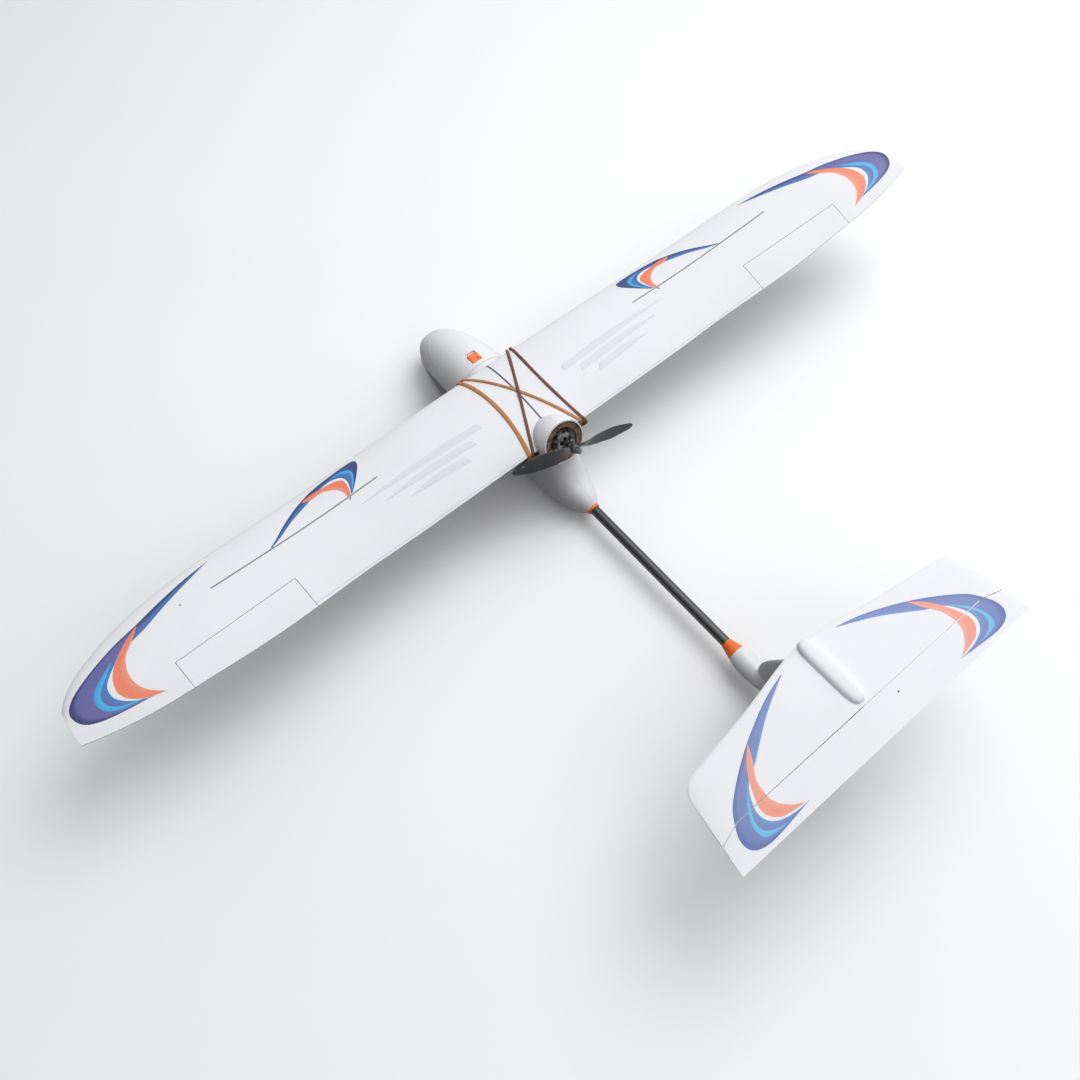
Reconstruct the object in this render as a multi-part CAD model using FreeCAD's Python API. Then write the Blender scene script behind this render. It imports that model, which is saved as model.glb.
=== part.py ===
import FreeCAD, Part
import math
import os

# A pusher glider with a straight-topped foam fuselage pod, a carbon tail boom and a T-tail.
# Millimetres. The nose points to -Y, the left wing to +X and up is +Z.
# The geometry is laid out from the wing: Y = 0 is the leading edge at the root and Z = 0 is the
# chord line there. seat() moves every finished piece so that the whole airframe stands on Z = 0
# with its bounding box centred on the origin.

V = FreeCAD.Vector
X_AXIS = V(1, 0, 0)
Y_AXIS = V(0, 1, 0)
Z_AXIS = V(0, 0, 1)

# ---- overall ---------------------------------------------------------------------------------
BELLY_Z = -150.0            # lowest line of the skid
NOSE_Y = -198.0             # nose tip
TAIL_END_Y = 903.0          # trailing edge of the tailplane
SEAT = V(0, -(NOSE_Y + TAIL_END_Y) / 2, -BELLY_Z)
FIT_GAP = 0.3               # clearance left between soft pieces
SIDES = {"left": 1, "right": -1}

# ---- wing ------------------------------------------------------------------------------------
HALF_SPAN = 860.0
ROOT_CHORD = 195.0
RIB_HALF = 1.6              # half thickness of the seam between the wing halves
UPPER_ROOT = 20.5           # camber height above the chord line at the root
LOWER_ROOT = 6.5            # depth below it
BREAK_IN, BREAK_OUT = 250.0, 480.0   # the dihedral bend is spread between these stations
DIHEDRAL = math.radians(7.46)
SPAR_IN, SPAR_OUT = (282.0, 72.6), (597.0, 86.4)
SPAR_W, SPAR_H = 2.6, 5.0
JOINER_R, JOINER_LEN, JOINER_Y = 5.0, 460.0, 66.0

# ---- ailerons --------------------------------------------------------------------------------
AIL_IN, AIL_OUT = (487.0, 146.0), (699.0, 162.0)    # ends of the hinge line
HINGE_GAP = 1.0
END_GAP = 1.0

# ---- fuselage --------------------------------------------------------------------------------
POD_HALF_W = 66.3           # widest half width, at the wing's leading edge
WAIST_HALF_W = 38.7         # half width where the rear cone starts
WAIST_Z = -114.0            # height of that widest point
CONE_Y0, CONE_Y1 = 150.0, 294.0
BOOM_Z = -112.2
BOOM_R = 9.0
BOOM_BORE_R = 7.6
BOOM_Y0, BOOM_Y1 = 170.0, 712.0
NOSE_Z = -106.0
SHELL_WALL = 12.0

# ---- power train -----------------------------------------------------------------------------
HUB = V(0, 242, 21)         # centre of the propeller
TILT = math.radians(23.5)   # the shaft rises to the rear by this much
PROP_R = 125.0
PROP_REST = -16.0           # degrees the blades are turned from level
ARCH_OFF = -30.0            # rear face of the plywood arch, measured along the shaft
ARCH_R, ARCH_HOLE_R, ARCH_T = 37.5, 26.5, 4.0
MOTOR_R = 17.5

# ---- tail ------------------------------------------------------------------------------------
STAB_Z = 92.6
STAB_T = 9.0
ELEV_HINGE_Y = 850.0
ELEV_HALF = 243.0
FIN_T = 15.0
RUDDER_HINGE_Y = 852.0


def seat(shape):
    """Move a finished shape from the wing datum to the standing datum."""
    placed = shape.copy()
    placed.translate(SEAT)
    return placed


def write(name, shape):
    """Save one named piece and complain about anything that is not closed solids."""
    if not shape.Solids or not shape.isValid() or shape.Volume <= 0:
        print("BAD", name, shape.isValid(), len(shape.Solids), shape.Volume)
    seat(shape).exportStep("parts/" + name + ".step")
    print("%-26s solids %2d  volume %10.0f" % (name, len(shape.Solids), shape.Volume))


def smooth(t):
    """Ease from 0 to 1 with level ends."""
    t = min(max(t, 0.0), 1.0)
    return t * t * (3 - 2 * t)


def mirrored(shape, side):
    """The same piece for the other wing when side is -1."""
    if side > 0:
        return shape
    return shape.mirror(V(0, 0, 0), X_AXIS)


def block(x0, x1, y0, y1, z0, z1):
    """A box between two corners."""
    return Part.makeBox(x1 - x0, y1 - y0, z1 - z0, V(x0, y0, z0))


def rod(start, end, radius):
    """A round bar from one point to another."""
    return Part.makeCylinder(radius, (end - start).Length, start, end - start)


def tube(start, end, outer, inner):
    """A round tube from one point to another."""
    return rod(start, end, outer).cut(rod(start, end, inner))


def joined(shapes):
    """Fuse a list of overlapping solids into one."""
    first = shapes[0]
    if len(shapes) > 1:
        first = first.fuse(shapes[1:])
    return first.removeSplitter()


def group(shapes):
    """Separate identical solids kept together."""
    return Part.makeCompound(shapes)


def rounded(shape, radius, pick=None):
    """Round the chosen edges, or every edge when none are chosen."""
    edges = [e for e in shape.Edges if pick is None or pick(e)]
    return shape.makeFillet(radius, edges)


# ---- wing shape ------------------------------------------------------------------------------
def wing_lead(x):
    """Leading edge: straight, then gently swept, then a rounded tip."""
    sweep = max(0.0, (x - 100.0) / 761.0)
    tip = max(0.0, (x - 600.0) / 262.0)
    return 55.0 * sweep ** 2 + 87.0 * (1 - math.sqrt(1 - tip * tip))


def wing_trail(x):
    """Trailing edge: the chord widens a little outboard before the tip."""
    tip = max(0.0, (x - 720.0) / 140.0)
    return ROOT_CHORD + 13.0 * smooth((x - 350.0) / 250.0) - 17.0 * tip ** 2


def wing_z(x):
    """Height of the chord line: a flat centre and a straight outer panel with an eased bend."""
    slope = math.tan(DIHEDRAL)
    bend = BREAK_OUT - BREAK_IN
    if x <= BREAK_IN:
        return 0.0
    if x <= BREAK_OUT:
        return slope * (x - BREAK_IN) ** 2 / (2 * bend)
    return slope * (bend / 2 + x - BREAK_OUT)


def thickness_factor(x):
    """The section thins outboard and rounds off at the tip."""
    outboard = 1 - 0.22 * smooth((x - 150.0) / 500.0)
    tip = max(0.0, (x - 700.0) / 170.0)
    return outboard * math.sqrt(1 - tip ** 2 * 0.97)


def upper_shape(t):
    """Upper surface of the section, 1 at its crest, for t from the nose 0 to the tail 1."""
    return 2.25 * math.sqrt(t) * (1 - t) * (1 + 0.45 * t)


def airfoil_wire(x, skin=0.0):
    """The closed section at one span station, grown by skin all round."""
    lead = wing_lead(x) - skin
    trail = wing_trail(x) + skin
    chord = trail - lead
    size = thickness_factor(x)
    z = wing_z(x)
    edge = 0.9 + skin
    top = [V(x, lead, z)]
    bottom = [V(x, lead, z)]
    for t in (0.012, 0.05, 0.12, 0.22, 0.35, 0.5, 0.65, 0.8, 0.92):
        y = lead + t * chord
        crest = UPPER_ROOT * size * upper_shape(t)
        belly = LOWER_ROOT * size * min(1.0, 3.2 * math.sqrt(t)) * (1 - t) ** 0.6
        top.append(V(x, y, z + crest + edge * t + skin * (1 - t)))
        bottom.append(V(x, y, z - belly - edge * t - skin * (1 - t)))
    top.append(V(x, trail, z + edge))
    bottom.append(V(x, trail, z - edge))
    upper = Part.BSplineCurve()
    upper.interpolate(top)
    lower = Part.BSplineCurve()
    lower.interpolate(bottom)
    closing = Part.makeLine(top[-1], bottom[-1])
    return Part.Wire([upper.toShape(), closing, lower.toShape()])


def wing_blank(skin=0.0, inner=RIB_HALF, centre_only=False):
    """One whole left wing half as a solid, or just its centre, optionally grown by skin."""
    centre = [inner, 40, 80, 130]
    bend = [190] + list(range(250, 500, 40))
    outer = [545, 600, 655, 700, 740, 775, 805, 830, 848, HALF_SPAN]
    stations = centre if centre_only else centre + bend + outer
    return Part.makeLoft([airfoil_wire(x, skin) for x in stations], True, False)


def surface_height(x, y, skin=0.0):
    """Height of the wing's upper surface over a point in plan."""
    lead, trail = wing_lead(x), wing_trail(x)
    t = min(max((y - lead) / (trail - lead), 0.001), 1.0)
    return wing_z(x) + UPPER_ROOT * thickness_factor(x) * upper_shape(t) + 0.9 * t + skin


def lower_height(x, y):
    """Height of the wing's lower surface under a point in plan."""
    lead, trail = wing_lead(x), wing_trail(x)
    t = min(max((y - lead) / (trail - lead), 0.001), 1.0)
    belly = LOWER_ROOT * thickness_factor(x) * min(1.0, 3.2 * math.sqrt(t)) * (1 - t) ** 0.6
    return wing_z(x) - belly - 0.9 * t


# ---- ailerons and their drive ----------------------------------------------------------------
HINGE_IN = V(AIL_IN[0], AIL_IN[1], surface_height(*AIL_IN) - 1.0)
HINGE_OUT = V(AIL_OUT[0], AIL_OUT[1], surface_height(*AIL_OUT) - 1.0)
HINGE_DIR = (HINGE_OUT - HINGE_IN).normalize()
BEVEL = math.radians(32.0)          # slope of the aileron's front face, for the downward swing


def hinge_prism(front, back_top, back_low, shrink):
    """A slab that follows the aileron hinge line, from the hinge face to behind the trailing edge."""
    start = HINGE_IN + HINGE_DIR * shrink
    end = HINGE_OUT - HINGE_DIR * shrink
    aft = HINGE_DIR.cross(Z_AXIS)
    aft = V(-aft.x, -aft.y, 0).normalize()
    up = HINGE_DIR.cross(aft)
    low = 30.0
    corners = []
    for base in (start, end):
        face_low = front + low * math.tan(back_low)
        corners.append([base + aft * front + up * 12, base + aft * back_top + up * 12,
                        base + aft * back_top - up * low, base + aft * face_low - up * low,
                        base + aft * front])
    wires = [Part.makePolygon(ring + [ring[0]]) for ring in corners]
    return Part.makeLoft(wires, True, True)


def wing_and_aileron():
    """Cut the blank wing into the fixed part and the aileron."""
    blank = wing_blank()
    opening = hinge_prism(-HINGE_GAP / 2, 90.0, 0.0, 0.0)
    moving = hinge_prism(HINGE_GAP / 2, 90.0, BEVEL, END_GAP)
    return blank.cut(opening), blank.common(moving)


SERVO_BODY = V(12.0, 23.0, 22.0)    # small servo case, width by length by height
AIL_ARM = 20.0                      # each drive arm and its horn share one length, so the rod stays
TAIL_ARM = 13.0                     # parallel to the line between their two pivots
ROD_R = 0.9
PIN_R = 0.75
HOLE_R = 0.82


def placed(shape, origin, x_dir, y_dir, z_dir):
    """Put a shape built at the origin onto a frame given by three unit vectors."""
    matrix = FreeCAD.Matrix(x_dir.x, y_dir.x, z_dir.x, origin.x,
                            x_dir.y, y_dir.y, z_dir.y, origin.y,
                            x_dir.z, y_dir.z, z_dir.z, origin.z,
                            0, 0, 0, 1)
    moved = shape.copy()
    moved.Placement = FreeCAD.Placement(matrix)
    return moved


def servo_case():
    """Case with mounting ears and the round gear boss; the output turns about local X at the origin."""
    w, length, height = SERVO_BODY.x, SERVO_BODY.y, SERVO_BODY.z
    top = -3.2
    case = block(top - height, top, -6.0, length - 6.0, -w / 2, w / 2)
    case = rounded(case, 0.8)
    ears = block(top - 6.5, top - 4.5, -11.0, length - 1.0, -w / 2 + 0.4, w / 2 - 0.4)
    for y in (-8.6, length - 3.4):
        ears = ears.cut(rod(V(top - 8, y, 0), V(top, y, 0), 1.1))
    boss = rod(V(top - 1, 0, 0), V(-1.4, 0, 0), 5.6)
    idler = rod(V(top - 1, 6.0, 0), V(-2.2, 6.0, 0), 2.6)
    shaft = rod(V(-2, 0, 0), V(0.9, 0, 0), 2.2)
    return joined([case, ears, boss, idler, shaft])


def servo_arm(length):
    """Output arm reaching down local -Z, with a row of holes; it turns about local X at the origin."""
    hub = rod(V(-0.9, 0, 0), V(2.6, 0, 0), 3.6)
    blade = block(1.0, 2.4, -2.2, 2.2, -length, 0)
    tip = rod(V(1.0, 0, -length), V(2.4, 0, -length), 2.2)
    arm = joined([hub, blade, tip])
    arm = arm.cut(rod(V(-2, 0, 0), V(0.95, 0, 0), 2.25))
    for drop in (length - 6.5, length - 3.2):
        arm = arm.cut(rod(V(0, 0, -drop), V(3, 0, -drop), 0.6))
    return arm.cut(rod(V(0, 0, -length), V(3, 0, -length), HOLE_R))


def pushrod(length, reach, rise):
    """Wire from the arm hole to the horn hole, both ends bent inwards as short pins."""
    x = 3.6
    start, end = V(x, 0, -length), V(x, reach, rise - length)
    span = end - start
    inward = V(-2.9, 0, 0)
    ends = [rod(at + inward, at, PIN_R) for at in (start, end)]
    elbows = [Part.makeSphere(ROD_R, at) for at in (start, end)]
    keeper = rod(start + span * 0.42, start + span * 0.58, 1.7)
    return joined([rod(start, end, ROD_R)] + ends + elbows + [keeper])


def control_horn(length, root_drop, depth):
    """Tapered horn standing off the control surface, its hole one arm length from the hinge line."""
    front = root_drop * math.tan(BEVEL)
    outline = [V(1.0, -2.4, -length - 0.4), V(1.0, 2.4, -length - 0.4), V(1.0, depth, -root_drop),
               V(1.0, front, -root_drop)]
    face = Part.Face(Part.makePolygon(outline + [outline[0]]))
    plate = face.extrude(V(1.4, 0, 0))
    tip = rod(V(1.0, 0, -length), V(2.4, 0, -length), 2.4)
    pad = block(-2.2, 5.6, front, depth + 1.5, -root_drop - 0.4, -root_drop + 2.0)
    horn = joined([plate, tip, pad])
    return horn.cut(rod(V(0, 0, -length), V(3, 0, -length), HOLE_R))


def linkage(pivot, hinge, x_dir, y_dir, length, root_drop, depth):
    """Servo, arm, pushrod and horn for one control surface, and the pocket the servo needs."""
    z_dir = x_dir.cross(y_dir)
    span = hinge - pivot
    reach, rise = span.dot(y_dir), span.dot(z_dir)
    shapes = {"servo": (servo_case(), pivot), "arm": (servo_arm(length), pivot),
              "pushrod": (pushrod(length, reach, rise), pivot),
              "horn": (control_horn(length, root_drop, depth), hinge),
              "pocket": (block(-25.6, 5.2, -12.0, 23.5, -30.0, 6.3), pivot)}
    return {name: placed(shape, at, x_dir, y_dir, z_dir) for name, (shape, at) in shapes.items()}


# ---- fuselage --------------------------------------------------------------------------------
TOP_Z = -2.0                # crown of the fuselage under the wing
KEEL_Z = -148.5             # foam belly, just above the skid
WIDE_Z = -93.1              # height at which the pod is widest
HATCH_Z = -48.0             # split between hatch and hull
HATCH_Y1 = -14.0
HATCH_GAP = 0.9
BOOM_MOUTH = 10.6           # radius of the foam where the boom enters it
CONE_RISE = 33.4            # height of the rear cone's back above that
BACK_Y0, BACK_Y1 = 196.0, 262.0     # the crown steps down to the rear cone between these stations


def pod_station(y):
    """Half width, widest height, crown and keel of the fuselage at a station."""
    if y <= 0:
        left = 1 - (y / NOSE_Y) ** 2
        half = POD_HALF_W * left ** 0.467
        wide = NOSE_Z + (WIDE_Z - NOSE_Z) * left ** 0.5
        crown = NOSE_Z + (TOP_Z - NOSE_Z) * left ** 0.618
        keel = NOSE_Z + (KEEL_Z - NOSE_Z) * left ** 0.486
        return half, wide, crown, keel
    if y <= CONE_Y0:
        eased = smooth(y / CONE_Y0)
        half = POD_HALF_W + (WAIST_HALF_W - POD_HALF_W) * eased
        return half, WIDE_Z + (WAIST_Z - WIDE_Z) * eased, TOP_Z, KEEL_Z
    left = max(0.0, 1 - ((y - CONE_Y0) / (CONE_Y1 - CONE_Y0)) ** 3.9)
    half = BOOM_MOUTH + (WAIST_HALF_W - BOOM_MOUTH) * left
    wide = BOOM_Z + (WAIST_Z - BOOM_Z) * left
    crown = BOOM_Z + BOOM_MOUTH + CONE_RISE * left ** 0.74
    crown += (TOP_Z - crown) * (1 - smooth((y - BACK_Y0) / (BACK_Y1 - BACK_Y0)))
    keel = BOOM_Z - BOOM_MOUTH + (KEEL_Z - BOOM_Z + BOOM_MOUTH) * left ** 0.84
    return half, wide, crown, keel


def pod_wire(y, inset=0.0):
    """Fuselage section: a round top on a squarer bottom."""
    half, wide, crown, keel = pod_station(y)
    half, crown, keel = half - inset, crown - inset, keel + inset
    points = []
    count = 28
    for i in range(count):
        angle = 2 * math.pi * i / count
        c, s = math.cos(angle), math.sin(angle)
        power = 2 / 2.15 if s >= 0 else 2 / 2.7
        reach = crown - wide if s >= 0 else wide - keel
        x = math.copysign(abs(c) ** power, c) * half
        z = wide + math.copysign(abs(s) ** power, s) * reach
        points.append(V(x, y, z))
    curve = Part.BSplineCurve()
    curve.interpolate(Points=points, PeriodicFlag=True)
    return Part.Wire([curve.toShape()])


def pod_loft(stations, inset=0.0, tip=None):
    """Solid through the fuselage sections, optionally closed to a point at the nose."""
    wires = [pod_wire(y, inset) for y in stations]
    if tip is not None:
        wires.insert(0, Part.Vertex(tip))
    return Part.makeLoft(wires, True, False)


# ---- the tilted shaft line -------------------------------------------------------------------
SHAFT = V(0, math.cos(TILT), math.sin(TILT))
SHAFT_UP = V(0, -math.sin(TILT), math.cos(TILT))
SHAFT_SIDE = V(-1, 0, 0)


def on_shaft(offset):
    """Point on the shaft line, offset rearwards from the propeller centre."""
    return HUB + SHAFT * offset


def turned(profile):
    """Solid of revolution about the shaft from (offset, radius) corners."""
    points = [on_shaft(o) + SHAFT_UP * r for o, r in profile]
    face = Part.Face(Part.makePolygon(points + [points[0]]))
    return face.revolve(HUB, SHAFT, 360)


def motor_cowl(grow=0.0):
    """Foam dome around the motor, rising out of the wing ahead of the propeller."""
    rim, crest = 40.0 + grow, 41.0 + grow
    front = -108.0 - grow
    points = [on_shaft(front), on_shaft(front + 8) + SHAFT_UP * (11 + grow),
              on_shaft(-84) + SHAFT_UP * (26 + grow), on_shaft(-66) + SHAFT_UP * (36.5 + grow),
              on_shaft(-48) + SHAFT_UP * crest, on_shaft(ARCH_OFF + 2) + SHAFT_UP * rim]
    curve = Part.BSplineCurve()
    curve.interpolate(Points=points)
    back = on_shaft(ARCH_OFF + 2)
    wire = Part.Wire([curve.toShape(), Part.makeLine(points[-1], back), Part.makeLine(back, points[0])])
    return Part.Face(wire).revolve(HUB, SHAFT, 360)


DOWEL_R = 3.0
FRONT_DOWEL = V(0, 14, -27)
REAR_DOWEL = V(9, 191.5, -16.5)     # its left end sticks out further than its right
FRONT_DOWEL_HALF, REAR_DOWEL_HALF = 68.0, 78.0
COWL_BACK = ARCH_OFF + 2
CAVITY_OFF = -57.0          # bottom of the motor recess
FIREWALL_T = 4.0


def dowel(at, half_length, radius):
    """Crosswise rod through the fuselage."""
    half = V(half_length, 0, 0)
    return rod(at - half, at + half, radius)


def fuselage_outer():
    """Whole outer form of the fuselage, cowl included."""
    nose = [NOSE_Y * k for k in (0.985, 0.94, 0.86, 0.74, 0.58, 0.4, 0.2, 0.0)]
    front = pod_loft(nose, 0.0, V(0, NOSE_Y, NOSE_Z))
    middle = pod_loft([0, 30, 60, 90, 120, CONE_Y0])
    rear = pod_loft([CONE_Y0, 173, 196, 210, 224, 238, 252, 264, 275, 284, 290, CONE_Y1])
    return front.fuse([middle, rear]).fuse(motor_cowl())


def equipment_bay():
    """Hollow inside the pod for the battery and the radio gear."""
    front = pod_loft([NOSE_Y * k for k in (0.86, 0.74, 0.58, 0.4, 0.2, 0.0)], SHELL_WALL)
    return front.fuse(pod_loft([0, 35, 70, 105, 140], SHELL_WALL))


def hatch_region(gap):
    """Space above the hatch split, ahead of the wing."""
    return block(-90, 90, NOSE_Y - 10, HATCH_Y1 + gap, HATCH_Z - gap, 40)


def fuselage_parts():
    """Hull halves and hatch, with every seat cut into them."""
    outer = fuselage_outer()
    bay = equipment_bay()
    wings = [mirrored(wing_blank(FIT_GAP, -0.01, True), side) for side in (1, -1)]
    hatch = outer.common(hatch_region(0.0)).cut(bay)
    tools = [bay, hatch_region(HATCH_GAP)] + wings
    tools.append(rod(V(0, BOOM_Y0 - 0.2, BOOM_Z), V(0, CONE_Y1 + 5, BOOM_Z), BOOM_R + 0.05))
    tools.append(rod(on_shaft(CAVITY_OFF), on_shaft(COWL_BACK + 5), ARCH_HOLE_R + 0.5))
    tools.append(rod(on_shaft(ARCH_OFF - ARCH_T - 0.05), on_shaft(COWL_BACK + 5), ARCH_R + 0.1))
    tools.append(dowel(FRONT_DOWEL, 90, DOWEL_R + 0.05))
    tools.append(dowel(REAR_DOWEL, 90, DOWEL_R + 0.05))
    hull = outer
    for tool in tools:
        hull = hull.cut(tool)
    halves = {}
    for name, side in SIDES.items():
        near, far = 0.1 * side, 120.0 * side
        half = hull.common(block(min(near, far), max(near, far), NOSE_Y - 5, 320, -200, 120))
        halves[name] = max(half.Solids, key=lambda s: s.Volume)
    return halves, max(hatch.Solids, key=lambda s: s.Volume), outer


# ---- power train -----------------------------------------------------------------------------
def ring_of(make, count, start=0.0):
    """Copies of a shape spaced evenly about the shaft line."""
    copies = []
    for i in range(count):
        item = make.copy()
        item.rotate(HUB, SHAFT, start + 360.0 * i / count)
        copies.append(item)
    return copies


def shaft_hole(offset_a, offset_b, radial, radius):
    """Round hole or rod parallel to the shaft, off to one side of it."""
    side = SHAFT_UP * radial
    return rod(on_shaft(offset_a) + side, on_shaft(offset_b) + side, radius)


MOUNT_R = 12.0              # screw circle of the motor cross
BELL_FRONT, BELL_BACK = -46.0, -22.0
MOTOR_SHAFT_R = 2.0


def motor_arch():
    """Plywood ring that closes the cowl."""
    back, front = ARCH_OFF, ARCH_OFF - ARCH_T
    return turned([(front, ARCH_HOLE_R), (back, ARCH_HOLE_R), (back, ARCH_R), (front, ARCH_R)])


def firewall():
    """Plywood disc that carries the motor, with a wire opening and screw holes."""
    back = CAVITY_OFF + FIREWALL_T
    disc = turned([(CAVITY_OFF, 0), (back, 0), (back, ARCH_HOLE_R + 0.4), (CAVITY_OFF, ARCH_HOLE_R + 0.4)])
    disc = disc.cut(rod(on_shaft(CAVITY_OFF - 1), on_shaft(back + 1), 4.0))
    for hole in ring_of(shaft_hole(CAVITY_OFF - 1, back + 1, MOUNT_R, 1.55), 4, 45):
        disc = disc.cut(hole)
    return disc.cut(shaft_hole(CAVITY_OFF - 1, back + 1, -21.0, 3.5))


def motor_stator():
    """Aluminium cross, bearing tube and wound core."""
    seat_off = CAVITY_OFF + FIREWALL_T
    base = turned([(seat_off, 2.6), (seat_off + 2.5, 2.6), (seat_off + 2.5, 9.0), (seat_off, 9.0)])
    arm = rod(on_shaft(seat_off) + SHAFT_UP * MOUNT_R, on_shaft(seat_off + 2.5) + SHAFT_UP * MOUNT_R, 3.6)
    arms = ring_of(arm, 4, 45)
    tube_wall = turned([(seat_off + 1, 2.6), (-25.0, 2.6), (-25.0, 4.4), (seat_off + 1, 4.4)])
    core = turned([(-43.0, 4.2), (-28.0, 4.2), (-28.0, 9.0), (-43.0, 9.0)])
    tooth = placed(block(-1.6, 1.6, 8.0, 15.0, 0, 15.0), on_shaft(-43.0), SHAFT_SIDE, SHAFT_UP, SHAFT)
    stator = joined([base, tube_wall, core] + arms + ring_of(tooth, 12))
    for hole in ring_of(shaft_hole(seat_off - 1, seat_off + 4, MOUNT_R, 1.55), 4, 45):
        stator = stator.cut(hole)
    return stator


def motor_windings():
    """Twelve copper coils on the stator teeth, as separate solids."""
    outer = placed(block(-3.0, 3.0, 9.6, 14.2, -1.2, 16.2), on_shaft(-43.0), SHAFT_SIDE, SHAFT_UP, SHAFT)
    inner = placed(block(-1.6, 1.6, 9.5, 14.3, 0, 15.0), on_shaft(-43.0), SHAFT_SIDE, SHAFT_UP, SHAFT)
    return group(ring_of(outer.cut(inner), 12))


def motor_screws():
    """Four cap screws through the cross into the firewall."""
    head_off = CAVITY_OFF + FIREWALL_T + 2.5
    shank = shaft_hole(CAVITY_OFF + 0.2, head_off, MOUNT_R, 1.5)
    head = shaft_hole(head_off, head_off + 2.0, MOUNT_R, 2.7).cut(
        shaft_hole(head_off + 0.9, head_off + 2.1, MOUNT_R, 1.2))
    return group(ring_of(shank.fuse(head), 4, 45))


def motor_bell():
    """Rotating can with a vented rear cap, its shaft fixed in it."""
    wall = turned([(BELL_FRONT, 15.6), (BELL_BACK, 15.6), (BELL_BACK, MOTOR_R), (BELL_FRONT, MOTOR_R)])
    cap = turned([(BELL_BACK - 2.5, 0), (BELL_BACK, 0), (BELL_BACK, MOTOR_R), (BELL_BACK - 2.5, MOTOR_R)])
    vent = placed(block(-2.6, 2.6, 7.0, 14.0, -3.5, 1.0), on_shaft(BELL_BACK), SHAFT_SIDE, SHAFT_UP, SHAFT)
    for slot in ring_of(vent, 6):
        cap = cap.cut(slot)
    shaft = rod(on_shaft(CAVITY_OFF + 0.5), on_shaft(-6.6), MOTOR_SHAFT_R)
    return joined([wall, cap, shaft])


def prop_adapter():
    """Collet and threaded stub that carry the propeller."""
    collet = turned([(-21.5, 0), (-6.2, 0), (-6.2, 7.0), (-8.0, 7.0), (-14.0, 5.2), (-21.5, 4.6)])
    collet = collet.cut(rod(on_shaft(-22), on_shaft(-5.9), MOTOR_SHAFT_R))
    stub = rod(on_shaft(-6.4), on_shaft(14.0), 3.0)
    return joined([collet, stub])


def prop_nut():
    """Flanged rear nut with a rounded end."""
    flange = turned([(5.2, 0), (6.6, 0), (6.6, 7.0), (5.2, 7.0)])
    body = turned([(6.4, 0), (17.5, 0), (17.3, 2.2), (15.5, 4.2), (12.5, 5.2), (6.4, 5.4)])
    flats = ring_of(placed(block(-6, 6, 4.6, 7.0, 7.2, 12.0), HUB, SHAFT_SIDE, SHAFT_UP, SHAFT), 6)
    nut = joined([flange, body])
    for flat in flats:
        nut = nut.cut(flat)
    return nut.cut(rod(on_shaft(5.0), on_shaft(14.3), 3.0))


PROP_PITCH = 120.0
PROP_STATIONS = [(6, 11, 6.0), (14, 14, 5.2), (26, 20, 4.2), (45, 25, 3.4), (70, 25, 2.7),
                 (95, 20.5, 2.0), (112, 14.5, 1.5), (121, 9.0, 1.1), (124.6, 4.0, 0.8)]


def blade_wire(radius, chord, depth):
    """Twisted blade section across the radius, in the propeller's own frame (axis = local Z)."""
    twist = math.atan(PROP_PITCH / (2 * math.pi * max(radius, 16.0)))
    points = []
    for t, up in ((-0.42, 0.0), (-0.25, 0.62), (0.0, 0.78), (0.3, 0.5), (0.58, 0.0),
                  (0.3, -0.16), (0.0, -0.22), (-0.25, -0.24)):
        along, off = t * chord, -up * depth
        points.append(V(radius, along * math.cos(twist) - off * math.sin(twist),
                        along * math.sin(twist) + off * math.cos(twist)))
    curve = Part.BSplineCurve()
    curve.interpolate(Points=points, PeriodicFlag=True)
    return Part.Wire([curve.toShape()])


def propeller():
    """Two-bladed propeller with a round hub."""
    blade = Part.makeLoft([blade_wire(*s) for s in PROP_STATIONS], True, False)
    other = blade.copy()
    other.rotate(V(0, 0, 0), Z_AXIS, 180)
    hub = Part.makeCylinder(8.0, 10.0, V(0, 0, -5.0))
    hub = rounded(hub, 1.2)
    body = joined([hub, blade, other]).cut(Part.makeCylinder(3.0, 14, V(0, 0, -7)))
    body = placed(body, HUB, SHAFT_SIDE, SHAFT_UP, SHAFT)
    body.rotate(HUB, SHAFT, PROP_REST)
    return body


# ---- tail ------------------------------------------------------------------------------------
def stab_lead(s):
    """Leading edge of the tailplane at a span station."""
    corner = max(0.0, (abs(s) - 235.0) / 27.3)
    return 731.0 + 0.155 * min(abs(s), 235.0) + 28.0 * (1 - math.sqrt(1 - corner ** 2))


def stab_wire(s):
    """Symmetrical tailplane section; the tips rake outwards towards the rear."""
    lead = stab_lead(s)
    chord = TAIL_END_Y - lead
    tip = max(0.0, (abs(s) - 225.0) / 40.0)
    thick = STAB_T * (1 - 0.15 * abs(s) / 262.0) * math.sqrt(1 - 0.94 * tip ** 2)

    def point(t, side):
        y = lead + t * chord
        half = thick / 2 * min(1.0, 1.9 * math.sqrt(t) * (1.25 - t)) if t < 0.7 else \
            thick / 2 * (1.0 - (t - 0.7) / 0.3 * 0.8) * 0.874
        x = s * (1 + 0.0885 * (y - 731.0) / 172.0)
        return V(x, y, STAB_Z + side * max(half, 0.8 if t > 0.1 else 0.0))

    stops = (0.0, 0.012, 0.05, 0.12, 0.25, 0.45, 0.7, 0.85, 1.0)
    top = [point(t, 1) for t in stops]
    bottom = [point(t, -1) for t in stops]
    upper = Part.BSplineCurve()
    upper.interpolate(top)
    lower = Part.BSplineCurve()
    lower.interpolate(bottom)
    return Part.Wire([upper.toShape(), Part.makeLine(top[-1], bottom[-1]), lower.toShape()])


ELEV_AXIS_Z = STAB_Z + STAB_T / 2 - 1.2
ELEV_NOTCH_Y = 861.0        # where the elevator's end cut meets the tip


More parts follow.
